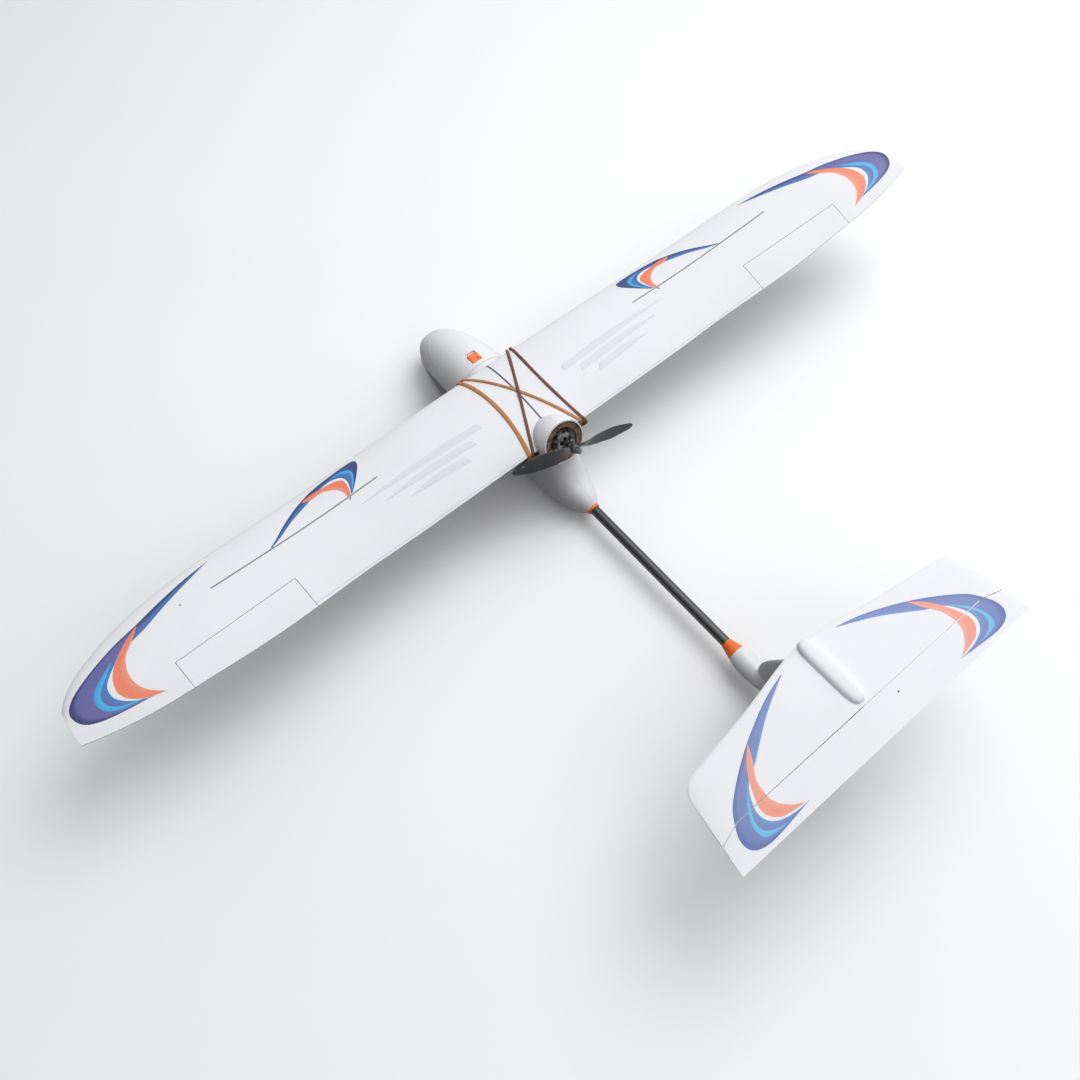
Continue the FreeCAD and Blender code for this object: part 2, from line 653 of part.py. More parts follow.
def elevator_region(front, bevel):
    """Plan of the elevator swept vertically, its front face sloped by the bevel."""
    top_z, low_z = STAB_Z + 12, STAB_Z - 12
    rings = []
    for z in (top_z, ELEV_AXIS_Z, low_z):
        back = front + max(0.0, ELEV_AXIS_Z - z) * math.tan(bevel)
        y0, y1 = ELEV_HINGE_Y + back, ELEV_NOTCH_Y + back
        plan = [V(-300, y1 + 6, z), V(-282, y1, z), V(-ELEV_HALF, y0, z), V(ELEV_HALF, y0, z),
                V(282, y1, z), V(300, y1 + 6, z), V(300, 930, z), V(-300, 930, z)]
        rings.append(Part.makePolygon(plan + [plan[0]]))
    upper = Part.makeLoft(rings[:2], True, True)
    return upper.fuse(Part.makeLoft(rings[1:], True, True))


def tailplane_parts():
    """Fixed tailplane and the elevator cut from one blank."""
    stations = [-262, -259, -251, -235, -200, -110, 0, 110, 200, 235, 251, 259, 262]
    blank = Part.makeLoft([stab_wire(s) for s in stations], True, False)
    fixed = blank.cut(elevator_region(-HINGE_GAP / 2, 0.0))
    moving = blank.common(elevator_region(HINGE_GAP / 2, BEVEL))
    return max(fixed.Solids, key=lambda s: s.Volume), max(moving.Solids, key=lambda s: s.Volume)


FAIRING_Y0, FAIRING_Y1 = 728.5, 845.0


def tail_fairing(fixed):
    """Raised foam fairing along the middle of the tailplane."""
    rings = []
    for part in (0.01, 0.04, 0.1, 0.2, 0.35, 0.5, 0.65, 0.8, 0.9, 0.96, 0.99):
        fullness = (1 - abs(2 * part - 1) ** 5) ** 0.4
        y = FAIRING_Y0 + (FAIRING_Y1 - FAIRING_Y0) * part
        half, high = 14.0 * fullness, 2.5 + 8.0 * fullness
        points = []
        for i in range(16):
            angle = 2 * math.pi * i / 16
            x = math.copysign(abs(math.cos(angle)) ** 0.7, math.cos(angle)) * half
            z = math.copysign(abs(math.sin(angle)) ** 0.7, math.sin(angle)) * high
            points.append(V(x, y, STAB_Z + 2.0 + z))
        curve = Part.BSplineCurve()
        curve.interpolate(Points=points, PeriodicFlag=True)
        rings.append(Part.Wire([curve.toShape()]))
    bump = Part.makeLoft(rings, True, False)
    bump = bump.common(block(-30, 30, 700, 849, STAB_Z - 2.0, STAB_Z + 30))
    return max(bump.cut(fixed).Solids, key=lambda s: s.Volume)


# ---- fin, rudder and boom --------------------------------------------------------------------
FIN_STATIONS = [(-131.0, 704.0, 884.0), (-60.0, 695.0, 890.0), (5.0, 720.0, 894.0), (92.6, 750.0, 898.0)]
RUDDER_BEVEL = math.radians(34.0)


def fin_wire(z, lead, trail):
    """Symmetrical fin section at one height."""
    chord = trail - lead
    half = FIN_T / 2
    stops = ((0.0, 0.0), (0.012, 0.3), (0.05, 0.58), (0.14, 0.86), (0.3, 1.0), (0.5, 0.93), (0.75, 0.62),
             (1.0, 0.14))
    right = [V(half * w, lead + t * chord, z) for t, w in stops]
    left = [V(-half * w, lead + t * chord, z) for t, w in stops]
    one, two = Part.BSplineCurve(), Part.BSplineCurve()
    one.interpolate(right)
    two.interpolate(left)
    return Part.Wire([one.toShape(), Part.makeLine(right[-1], left[-1]), two.toShape()])


def fin_parts(tailplane, mount):
    """Fin and rudder cut from one blank; the rudder's top clears the lowered elevator."""
    blank = Part.makeLoft([fin_wire(*s) for s in FIN_STATIONS], True, False)
    hinge = RUDDER_HINGE_Y
    fin = blank.common(block(-20, 20, 600, hinge - HINGE_GAP, -140, 100)).cut(tailplane).cut(mount)
    fin = fin.cut(block(-20, 20, ELEV_HINGE_Y - HINGE_GAP, hinge, 74, 100))
    slope = math.tan(RUDDER_BEVEL)
    plan = [V(0, hinge, -140), V(25, hinge + 25 * slope, -140), V(25, 920, -140), V(-25, 920, -140),
            V(-25, hinge + 25 * slope, -140)]
    wedge = Part.Face(Part.makePolygon(plan + [plan[0]])).extrude(V(0, 0, 240))
    side = [V(-30, hinge - 5, 86), V(-30, 905, 58), V(-30, 905, 120), V(-30, hinge - 5, 120)]
    above = Part.Face(Part.makePolygon(side + [side[0]])).extrude(V(60, 0, 0))
    rudder = blank.common(wedge).cut(above)
    return max(fin.Solids, key=lambda s: s.Volume), max(rudder.Solids, key=lambda s: s.Volume)


def about_boom(profile):
    """Solid of revolution about the boom from (station, radius) corners."""
    points = [V(0, y, BOOM_Z + r) for y, r in profile]
    face = Part.Face(Part.makePolygon(points + [points[0]]))
    return face.revolve(V(0, 0, BOOM_Z), Y_AXIS, 360)


def tail_mount():
    """Round fairing that joins the boom to the fin."""
    profile = [V(0, 648.2, BOOM_Z + 15), V(0, 662, BOOM_Z + 18.6), V(0, 685, BOOM_Z + 19.6),
               V(0, 712, BOOM_Z + 17.0), V(0, 742, BOOM_Z + 4.0)]
    curve = Part.BSplineCurve()
    curve.interpolate(Points=profile)
    base, nose = V(0, 648.2, BOOM_Z), V(0, 742, BOOM_Z)
    wire = Part.Wire([curve.toShape(), Part.makeLine(profile[-1], nose), Part.makeLine(nose, base),
                      Part.makeLine(base, profile[0])])
    body = Part.Face(wire).revolve(V(0, 0, BOOM_Z), Y_AXIS, 360)
    return body.cut(rod(V(0, 640, BOOM_Z), V(0, BOOM_Y1 + 0.1, BOOM_Z), BOOM_R + 0.05))


def boom_parts():
    """Carbon boom, its orange front ring and its orange rear cone."""
    boom = tube(V(0, BOOM_Y0, BOOM_Z), V(0, BOOM_Y1, BOOM_Z), BOOM_R, BOOM_BORE_R)
    inner = BOOM_R + 0.05
    ring = about_boom([(CONE_Y1 + 0.05, inner), (CONE_Y1 + 4.0, inner), (CONE_Y1 + 4.0, 10.4),
                       (CONE_Y1 + 2.6, 11.4), (CONE_Y1 + 0.05, 11.8)])
    cone = about_boom([(625, inner), (648.1, inner), (648.1, 15.0), (646.0, 15.0), (627, 10.0), (625, 9.8)])
    return boom, ring, cone


# ---- wing fittings ---------------------------------------------------------------------------
JOINER_Z = 7.0
STRAND_T = 1.7              # thickness of a rubber band
SKIN_LOW = 0.25             # how far the bands stand off the foam


def joiner(radius, half_length):
    """Tube or bore across the wing centre."""
    return rod(V(-half_length, JOINER_Y, JOINER_Z), V(half_length, JOINER_Y, JOINER_Z), radius)


def spar_strip(blank):
    """Carbon strip let into the top of the wing, following the surface."""
    start, end = V(SPAR_IN[0], SPAR_IN[1], -20), V(SPAR_OUT[0], SPAR_OUT[1], -20)
    along = (end - start)
    across = Z_AXIS.cross(along).normalize() * (SPAR_W / 2)
    corners = [start + across, end + across, end - across, start - across]
    slab = Part.Face(Part.makePolygon(corners + [corners[0]])).extrude(V(0, 0, 120))
    below = blank.copy()
    below.translate(V(0, 0, -SPAR_H))
    return max(slab.common(blank).cut(below).Solids, key=lambda s: s.Volume)


def centre_rib():
    """Thin black rib clamped between the two wing halves."""
    rib = Part.Face(airfoil_wire(0.0, 0.15)).extrude(V(2 * RIB_HALF - 0.1, 0, 0))
    rib.translate(V(-RIB_HALF + 0.05, 0, 0))
    return rib


def bar(start, end, width, depth):
    """Flat strip between two points, its width along X."""
    line = end - start
    z_dir = V(line).normalize()
    y_dir = z_dir.cross(X_AXIS).normalize()
    x_dir = y_dir.cross(z_dir)
    return placed(block(-width / 2, width / 2, -depth / 2, depth / 2, 0, line.Length), start, x_dir, y_dir, z_dir)


STRAND_STEPS = (0.0, 0.015, 0.05, 0.12, 0.2, 0.28, 0.34, 0.38, 0.42, 0.455, 0.49, 0.53, 0.57, 0.65, 0.75,
                0.85, 0.94, 1.0)
CROSSING = 0.455            # where the two crossing strands meet, along the chord
HUMP_HALF = 0.12            # half length of the lift over the other strand


def strand_edges(x_front, x_back, bow, width, hump):
    """Both lower edges of a strand over the wing, bowed sideways and lifted where it crosses another."""
    def plan(t):
        x = x_front + (x_back - x_front) * t + 4 * bow * t * (1 - t)
        return V(x, -2.2 + (ROOT_CHORD + 4.0) * t, 0)

    edges = []
    for t in STRAND_STEPS:
        along = plan(t + 0.01) - plan(t - 0.01)
        side = Z_AXIS.cross(along).normalize() * (width / 2)
        across = [plan(t) - side, plan(t), plan(t) + side]
        rest = max(surface_height(abs(at.x), at.y, SKIN_LOW) for at in across)
        lift = hump * max(0.0, 1 - ((t - CROSSING) / HUMP_HALF) ** 2) ** 2
        height = Z_AXIS * (rest + 0.2 + lift)
        edges.append((across[0] + height, across[2] + height))
    return edges


def strand(edges):
    """Flat strip between the two edges."""
    rings = []
    top = Z_AXIS * STRAND_T
    for one, other in edges:
        rings.append(Part.makePolygon([one, other, other + top, one + top, one]))
    return Part.makeLoft(rings, True, False)


def rubber_band(ends, dowel_xs, bow, width, hump):
    """One strand from the front dowel, over the wing and down to the rear dowel."""
    edges = strand_edges(ends[0], ends[1], bow, width, hump)
    tips = [(one + other) * 0.5 for one, other in (edges[0], edges[-1])]
    pieces = [strand(edges)]
    half = V(width / 2, 0, 0)
    for x, at, tip, step in ((dowel_xs[0], FRONT_DOWEL, tips[0], -1), (dowel_xs[1], REAR_DOWEL, tips[1], 1)):
        centre = V(x, at.y, at.z)
        top = tip + V(0, 0.5 * step, STRAND_T)
        pieces.append(bar(top, centre + V(0, step * (DOWEL_R + 1.0), 0), width, STRAND_T))
        pieces.append(tube(centre - half, centre + half, DOWEL_R + 2.0, DOWEL_R + 0.02))
    band = joined(pieces)
    for at in (FRONT_DOWEL, REAR_DOWEL):
        band = band.cut(dowel(at, 90, DOWEL_R + 0.02))
    return max(band.Solids, key=lambda s: s.Volume)


# ---- equipment inside the pod ----------------------------------------------------------------
TRAY_Z0, TRAY_Z1 = -129.0, -126.0
BATTERY = (42.0, 138.0, 29.0)
BATTERY_Y0 = -108.0


def equipment(bay):
    """Tray, battery with its strap, speed controller and receiver."""
    w, length, height = BATTERY
    floor = TRAY_Z1 + 0.05
    tray = bay.common(block(-26, 26, BATTERY_Y0, 118, TRAY_Z0, TRAY_Z1))
    strap_y0, strap_y1 = -34.0, -14.0
    for side in (1, -1):
        inner, outer = w / 2 * side, (w / 2 + 3) * side
        tray = tray.cut(block(min(inner, outer), max(inner, outer), strap_y0 - 1, strap_y1 + 1, -140, -100))
    pack = rounded(block(-w / 2, w / 2, BATTERY_Y0, BATTERY_Y0 + length, floor, floor + height), 2.5)
    wide = w / 2 + 1.6
    strap = block(-wide, wide, strap_y0, strap_y1, TRAY_Z0 - 1.6, floor + height + 1.6)
    strap = strap.cut(block(-w / 2 - 0.1, w / 2 + 0.1, strap_y0 - 1, strap_y1 + 1, TRAY_Z0 - 0.1,
                            floor + height + 0.1))
    controller = rounded(block(-24, -2, 52, 108, floor, floor + 11), 2.0)
    receiver = rounded(block(2, 24, 54, 92, floor, floor + 13), 1.0)
    for i in range(5):
        x = 5.8 + i * 3.6
        receiver = receiver.cut(block(x - 1.2, x + 1.2, 88, 93, floor + 3, floor + 10))
    return {"equipment_tray": tray, "battery_pack": pack, "battery_strap": strap,
            "speed_controller": controller, "receiver": receiver}


def belly_skid(outer):
    """Strip that the airframe lands and stands on."""
    strip = block(-19, 19, -92, 190, BELLY_Z, BELLY_Z + 6)
    strip = rounded(strip, 8.0, lambda e: abs(e.tangentAt(e.FirstParameter).z) > 0.9)
    return strip.cut(outer)


LATCH_Y0, LATCH_Y1 = -42.0, -23.0
LATCH_TRAVEL = 6.0
LATCH_FLOOR = -10.0


def hatch_and_latch(hatch):
    """Recess in the hatch and the orange sliding latch that runs in it."""
    recess = block(-10.5, 10.5, LATCH_Y0 - LATCH_TRAVEL - 0.6, LATCH_Y1 + 0.5, LATCH_FLOOR, 20)
    latch = block(-10, 10, LATCH_Y0, LATCH_Y1, LATCH_FLOOR + 0.1, -2.2)
    latch = rounded(latch, 1.2, lambda e: e.BoundBox.ZMin > LATCH_FLOOR + 1)
    latch = latch.cut(rod(V(-3.0, LATCH_Y1 - 5.5, -6.5), V(-3.0, LATCH_Y1 - 5.5, 2), 1.6))
    return hatch.cut(recess), latch


# ---- assembly --------------------------------------------------------------------------------
AIL_SERVO_AHEAD = 72.0
AIL_SERVO_SPAN = 0.48       # place of the linkage along the aileron's hinge
ELEV_LINK_X = 15.0
ELEV_PIVOT = V(-ELEV_LINK_X, 790.0, 83.5)
RUDDER_PIVOT = V(0, 786.0, -42.0)


def wing_group():
    """Everything on the left wing: the right wing is its mirror image."""
    wing, aileron = wing_and_aileron()
    strip = spar_strip(wing)
    aft = HINGE_DIR.cross(Z_AXIS)
    aft = V(-aft.x, -aft.y, 0).normalize()
    hinge = HINGE_IN + (HINGE_OUT - HINGE_IN) * AIL_SERVO_SPAN
    pivot = hinge - aft * AIL_SERVO_AHEAD
    pivot = V(pivot.x, pivot.y, lower_height(pivot.x, pivot.y) + 6.6)
    pivot += HINGE_DIR * (hinge - pivot).dot(HINGE_DIR)
    drive = linkage(pivot, hinge, HINGE_DIR, aft, AIL_ARM, 15.2, 17.0)
    wing = wing.cut(strip).cut(drive["pocket"]).cut(joiner(JOINER_R + 0.05, JOINER_LEN / 2 + 0.5))
    wing = wing.cut(motor_cowl(FIT_GAP))
    drive["horn"] = drive["horn"].cut(aileron)
    return {"wing": max(wing.Solids, key=lambda s: s.Volume), "aileron": aileron, "spar_strip": strip,
            "aileron_servo": drive["servo"], "aileron_arm": drive["arm"],
            "aileron_pushrod": drive["pushrod"], "aileron_horn": drive["horn"]}


def tail_group():
    """Tailplane, fin, both moving surfaces and their drives."""
    fixed, elevator = tailplane_parts()
    mount = tail_mount()
    lift = linkage(ELEV_PIVOT, V(-ELEV_LINK_X, ELEV_HINGE_Y, ELEV_AXIS_Z), X_AXIS, Y_AXIS, TAIL_ARM, 7.2, 11.0)
    lift = {name: mirrored(shape, -1) for name, shape in lift.items()}
    fixed = fixed.cut(lift["pocket"])
    fin, rudder = fin_parts(fixed, mount)
    turn = linkage(RUDDER_PIVOT, V(0, RUDDER_HINGE_Y, RUDDER_PIVOT.z), Z_AXIS, Y_AXIS, TAIL_ARM, 4.0, 8.5)
    fin = fin.cut(turn["pocket"])
    return {"tailplane": fixed, "elevator": elevator, "tail_fairing": tail_fairing(fixed),
            "tail_mount": mount, "fin": fin, "rudder": rudder,
            "elevator_servo": lift["servo"], "elevator_arm": lift["arm"],
            "elevator_pushrod": lift["pushrod"], "elevator_horn": lift["horn"].cut(elevator),
            "rudder_servo": turn["servo"], "rudder_arm": turn["arm"],
            "rudder_pushrod": turn["pushrod"], "rudder_horn": turn["horn"].cut(rudder)}


def band_group():
    """Four strands that hold the wing down, two straight and two crossing."""
    over = STRAND_T + 0.4
    return {"rubber_band_left": rubber_band((60.0, 59.0), (62.2, 60.5), -13.0, 7.5, 0.0),
            "rubber_band_right": rubber_band((-57.5, -59.5), (-60.5, -60.0), 9.5, 5.6, 0.0),
            "rubber_band_cross_a": rubber_band((51.0, -53.0), (55.3, -54.0), -5.0, 5.6, 0.0),
            "rubber_band_cross_b": rubber_band((-50.0, 51.5), (-54.5, 53.0), 0.0, 5.6, over)}


def build():
    """Make every piece and write it."""
    os.makedirs("parts", exist_ok=True)
    halves, hatch, outer = fuselage_parts()
    hatch, latch = hatch_and_latch(hatch)
    boom, ring, cone = boom_parts()
    pieces = {"fuselage_left_shell": halves["left"], "fuselage_right_shell": halves["right"],
              "canopy_hatch": hatch, "hatch_latch": latch, "belly_skid": belly_skid(outer),
              "motor_arch": motor_arch(), "firewall": firewall(), "motor_stator": motor_stator(),
              "motor_windings": motor_windings(), "motor_screws": motor_screws(),
              "motor_bell": motor_bell(), "prop_adapter": prop_adapter(), "prop_nut": prop_nut(),
              "propeller": propeller(), "tail_boom": boom, "boom_ring": ring, "boom_cone": cone,
              "front_dowel": dowel(FRONT_DOWEL, FRONT_DOWEL_HALF, DOWEL_R),
              "rear_dowel": dowel(REAR_DOWEL, REAR_DOWEL_HALF, DOWEL_R),
              "wing_joiner": joiner(JOINER_R, JOINER_LEN / 2).cut(joiner(JOINER_R - 1.0, JOINER_LEN / 2 + 1))}
    rib = centre_rib().cut(joiner(JOINER_R + 0.05, 10)).cut(motor_cowl(FIT_GAP)).cut(outer)
    pieces["centre_rib"] = max(rib.Solids, key=lambda s: s.Volume)
    pieces.update(equipment(equipment_bay()))
    for name, shape in wing_group().items():
        for side_name, side in SIDES.items():
            pieces[name + "_" + side_name] = mirrored(shape, side)
    pieces.update(tail_group())
    pieces.update(band_group())
    for name, shape in pieces.items():
        write(name, shape)
    print(len(pieces), "pieces")


if __name__ == "__main__":
    build()
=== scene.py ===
import math
import random

import bmesh
import bpy
from mathutils import Matrix, Vector
from mathutils.bvhtree import BVHTree


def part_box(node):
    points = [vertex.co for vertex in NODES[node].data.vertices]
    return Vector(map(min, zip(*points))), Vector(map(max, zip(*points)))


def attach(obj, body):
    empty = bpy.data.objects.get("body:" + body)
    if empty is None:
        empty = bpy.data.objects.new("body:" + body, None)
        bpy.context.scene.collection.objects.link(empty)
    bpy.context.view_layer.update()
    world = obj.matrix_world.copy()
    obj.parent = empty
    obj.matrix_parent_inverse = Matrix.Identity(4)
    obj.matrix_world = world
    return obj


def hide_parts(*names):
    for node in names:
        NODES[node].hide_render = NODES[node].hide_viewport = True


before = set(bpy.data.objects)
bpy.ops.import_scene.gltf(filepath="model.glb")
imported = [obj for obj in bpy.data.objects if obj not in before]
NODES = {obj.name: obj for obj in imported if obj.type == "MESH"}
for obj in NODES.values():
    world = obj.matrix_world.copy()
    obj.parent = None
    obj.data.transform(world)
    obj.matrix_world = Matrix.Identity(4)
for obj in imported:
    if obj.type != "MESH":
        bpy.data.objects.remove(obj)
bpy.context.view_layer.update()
MM = 0.001

# Datum of the airframe: the wing's leading edge at the root and the chord line there.
WING_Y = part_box("centre_rib")[0].y + 0.00015
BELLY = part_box("belly_skid")[0].z
CHORD_HEIGHT = 0.150        # m from the skid's flat to the chord line
WING_Z = BELLY + CHORD_HEIGHT


def at(x, y, z=0.0):
    """Point given in millimetres from the wing datum."""
    return Vector((x * MM, WING_Y + y * MM, WING_Z + z * MM))


# ---- node material helpers -------------------------------------------------------------------
class Look:
    """A material under construction: its nodes, links and principled shader."""

    def __init__(self, name):
        self.material = bpy.data.materials.new(name)
        self.material.use_nodes = True
        self.tree = self.material.node_tree
        self.shader = self.tree.nodes["Principled BSDF"]
        self.place = self.tree.nodes.new("ShaderNodeTexCoord")

    def node(self, kind, **values):
        made = self.tree.nodes.new(kind)
        for key, value in values.items():
            if key in made.inputs:
                made.inputs[key].default_value = value
            else:
                setattr(made, key, value)
        return made

    def link(self, source, target):
        self.tree.links.new(source, target)

    def stretched(self, scale, uv=False):
        """Texture coordinates scaled differently along each axis."""
        mapping = self.tree.nodes.new("ShaderNodeMapping")
        mapping.inputs["Scale"].default_value = scale
        self.link(self.place.outputs["UV" if uv else "Object"], mapping.inputs["Vector"])
        return mapping.outputs["Vector"]

    def noise(self, scale, detail=3.0, rough=0.55, vector=None):
        made = self.node("ShaderNodeTexNoise", Scale=scale, Detail=detail, Roughness=rough)
        self.link(vector or self.place.outputs["Object"], made.inputs["Vector"])
        return made.outputs["Fac"]

    def cells(self, scale, feature="F1"):
        made = self.node("ShaderNodeTexVoronoi", Scale=scale, feature=feature, Randomness=1.0)
        self.link(self.place.outputs["Object"], made.inputs["Vector"])
        return made.outputs["Distance"]

    def ramp(self, source, stops):
        made = self.tree.nodes.new("ShaderNodeValToRGB")
        ramp = made.color_ramp
        while len(ramp.elements) < len(stops):
            ramp.elements.new(0.5)
        for element, (place, colour) in zip(ramp.elements, stops):
            element.position = place
            element.color = colour if len(colour) == 4 else (*colour, 1)
        self.link(source, made.inputs["Fac"])
        return made.outputs["Color"]

    def mix(self, factor, a, b, blend="MIX"):
        """Mix two colours; the node repeats its socket names, so they are taken by place."""
        made = self.tree.nodes.new("ShaderNodeMix")
        made.data_type = "RGBA"
        made.blend_type = blend
        self.feed(factor, made.inputs[0])
        self.feed(a, made.inputs[6])
        self.feed(b, made.inputs[7])
        return made.outputs[2]

    def feed(self, value, socket):
        """Link a socket, or set a constant on it."""
        if isinstance(value, bpy.types.NodeSocket):
            self.link(value, socket)
        elif isinstance(value, tuple):
            socket.default_value = value if len(value) == 4 else (*value, 1)
        else:
            socket.default_value = value

    def range(self, source, low, high):
        made = self.node("ShaderNodeMapRange")
        made.inputs["To Min"].default_value = low
        made.inputs["To Max"].default_value = high
        self.link(source, made.inputs["Value"])
        return made.outputs["Result"]

    def bump(self, height, distance, strength=1.0, under=None):
        made = self.node("ShaderNodeBump", Strength=strength, Distance=distance)
        self.link(height, made.inputs["Height"])
        if under is not None:
            self.link(under, made.inputs["Normal"])
        return made.outputs["Normal"]

    def worn(self, colour, edge_colour, amount=0.5):
        """Lighten or darken convex edges, broken up by noise."""
        geometry = self.tree.nodes.new("ShaderNodeNewGeometry")
        edge = self.ramp(geometry.outputs["Pointiness"], [(0.505, (0, 0, 0)), (0.56, (1, 1, 1))])
        patches = self.ramp(self.noise(140.0), [(0.4, (0, 0, 0)), (0.65, (1, 1, 1))])
        broken = self.mix(1.0, edge, patches, "MULTIPLY")
        scaled = self.mix(1.0, broken, (amount, amount, amount), "MULTIPLY")
        return self.mix(scaled, colour, edge_colour)

    def finish(self, colour, rough, normal=None):
        self.feed(colour, self.shader.inputs["Base Color"])
        self.feed(rough, self.shader.inputs["Roughness"])
        if normal is not None:
            self.link(normal, self.shader.inputs["Normal"])
        return self.material


BEAD = 2.6          # mm across a fused bead of the wing's foam
BODY_BEAD = 2.2


def foam(name, colour, bead=BEAD):
    """Moulded bead foam: fused beads show as faint cells, with soft blotches and a little sheen."""
    look = Look(name)
    beads = look.cells(1.0 / (bead * MM))
    seams = look.cells(1.0 / (bead * MM), "DISTANCE_TO_EDGE")
    seam_mask = look.ramp(seams, [(0.0, (1, 1, 1)), (0.09, (0, 0, 0))])
    blotch = look.ramp(look.noise(9.0, 4.0), [(0.35, (0, 0, 0)), (0.7, (1, 1, 1))])
    dimmed = tuple(c * 0.93 for c in colour)
    tone = look.mix(blotch, colour, tuple(c * 0.975 for c in colour))
    seam_fac = look.mix(1.0, seam_mask, (0.32, 0.32, 0.32), "MULTIPLY")
    tone = look.mix(seam_fac, tone, dimmed)
    fine = look.bump(look.noise(1400.0, 2.0), 0.00006, 0.35)
    cell = look.bump(look.ramp(seams, [(0.0, (0, 0, 0)), (0.16, (1, 1, 1))]), 0.00014, 0.5, fine)
    dome = look.bump(beads, 0.00010, 0.35, cell)
    rough = look.range(look.noise(60.0, 4.0), 0.5, 0.68)
    look.shader.inputs["Subsurface Weight"].default_value = 0.06
    look.shader.inputs["Subsurface Radius"].default_value = (0.004, 0.004, 0.004)
    look.shader.inputs["Sheen Weight"].default_value = 0.05
    look.shader.inputs["Specular IOR Level"].default_value = 0.35
    return look.finish(tone, rough, dome)


def moulded(name, colour, rough=(0.35, 0.5), grain=900.0, wear=0.0,
            wear_colour=(0.5, 0.5, 0.5), coat=0.0):
    """Moulded plastic with a fine grain, rubbed patches and, where wear is given, worn edges."""
    look = Look(name)
    patch = look.noise(30.0, 5.0)
    tone = look.mix(patch, colour, tuple(min(1.0, c * 1.18 + 0.004) for c in colour))
    if wear:
        tone = look.worn(tone, wear_colour, wear)
    skin = look.bump(look.noise(grain, 3.0), 0.00005, 0.5)
    look.shader.inputs["Coat Weight"].default_value = coat
    look.shader.inputs["Coat Roughness"].default_value = 0.2
    return look.finish(tone, look.range(look.noise(75.0, 4.0), *rough), skin)


def metal(name, colour, rough=(0.2, 0.38), brush=(400.0, 30.0, 30.0), wear_colour=None):
    """Machined or drawn metal with fine directional marks."""
    look = Look(name)
    lines = look.noise(1.0, 3.0, 0.6, look.stretched(brush))
    tone = look.mix(look.noise(50.0), colour, tuple(c * 0.78 for c in colour))
    if wear_colour:
        tone = look.worn(tone, wear_colour, 0.7)
    look.shader.inputs["Metallic"].default_value = 1.0
    return look.finish(tone, look.range(lines, *rough), look.bump(lines, 0.00003, 0.4))


def carbon_tube(name):
    """Wrapped carbon tube: fine uneven bands of tow under clear resin, lightly scuffed."""
    look = Look(name)
    wave = look.node("ShaderNodeTexWave", Scale=1.0, Distortion=1.6, Detail=1.0)
    look.link(look.stretched((260.0, 150.0, 260.0)), wave.inputs["Vector"])
    tows = wave.outputs["Fac"]
    tone = look.ramp(tows, [(0.25, (0.012, 0.012, 0.013)), (0.75, (0.045, 0.045, 0.047))])
    scuff = look.ramp(look.noise(1.0, 5.0, 0.6, look.stretched((500.0, 14.0, 500.0))),
                      [(0.6, (0, 0, 0)), (0.75, (0.12, 0.12, 0.12))])
    tone = look.mix(scuff, tone, (0.2, 0.2, 0.2))
    look.shader.inputs["Coat Weight"].default_value = 0.5
    look.shader.inputs["Coat Roughness"].default_value = 0.22
    look.shader.inputs["Anisotropic"].default_value = 0.4
    return look.finish(tone, look.range(tows, 0.3, 0.46), look.bump(tows, 0.00006, 0.5))


def ply(name):
    """Thin birch ply, laser cut: stretched grain, darker streaks along it and scorched rims."""
    look = Look(name)
    grain = look.noise(1.0, 6.0, 0.6, look.stretched((55.0, 900.0, 700.0)))
    tone = look.ramp(grain, [(0.3, (0.16, 0.085, 0.048)), (0.55, (0.27, 0.16, 0.1)),
                             (0.75, (0.36, 0.235, 0.16))])
    streak = look.ramp(look.noise(1.0, 2.0, 0.5, look.stretched((8.0, 220.0, 220.0))),
                       [(0.4, (0, 0, 0)), (0.62, (1, 1, 1))])
    tone = look.mix(streak, tone, (0.22, 0.13, 0.085))
    tone = look.worn(tone, (0.035, 0.018, 0.01), 0.9)
    return look.finish(tone, look.range(grain, 0.55, 0.8), look.bump(grain, 0.00012, 0.6))


def rubber(name, colour, dark):
    """Stretched natural rubber: darker lengthwise striations under a dusty bloom."""
    look = Look(name)
    stria = look.noise(1.0, 4.0, 0.6, look.stretched((24.0, 900.0, 1.0), uv=True))
    dust = look.ramp(look.noise(220.0, 5.0), [(0.45, (0, 0, 0)), (0.72, (1, 1, 1))])
    tone = look.mix(look.ramp(stria, [(0.3, (0, 0, 0)), (0.7, (1, 1, 1))]), dark, colour)
    tone = look.mix(look.mix(1.0, dust, (0.25, 0.25, 0.25), "MULTIPLY"), tone,
                    tuple(min(1.0, c * 1.5 + 0.03) for c in colour))
    look.shader.inputs["Specular IOR Level"].default_value = 0.3
    return look.finish(tone, look.range(dust, 0.55, 0.8), look.bump(stria, 0.00009, 0.7))


def webbing(name, colour):
    """Woven hook-and-loop strap."""
    look = Look(name)
    weave = look.node("ShaderNodeTexBrick", Scale=900.0)
    look.link(look.place.outputs["Object"], weave.inputs["Vector"])
    tone = look.mix(weave.outputs["Fac"], colour, tuple(c * 0.4 for c in colour))
    fuzz = look.noise(1600.0, 2.0)
    look.shader.inputs["Sheen Weight"].default_value = 0.5
    return look.finish(tone, look.range(fuzz, 0.8, 0.95), look.bump(fuzz, 0.0002, 0.8))


def windings(name):
    """Lacquered copper wire wound in close turns."""
    look = Look(name)
    turns = look.node("ShaderNodeTexWave", Scale=1.0, Distortion=0.3, wave_type="BANDS",
                      bands_direction="DIAGONAL")
    look.link(look.stretched((900.0, 900.0, 900.0)), turns.inputs["Vector"])
    tone = look.ramp(turns.outputs["Fac"], [(0.1, (0.12, 0.03, 0.012)), (0.6, (0.55, 0.2, 0.08))])
    look.shader.inputs["Metallic"].default_value = 0.85
    return look.finish(tone, 0.3, look.bump(turns.outputs["Fac"], 0.0002, 0.9))


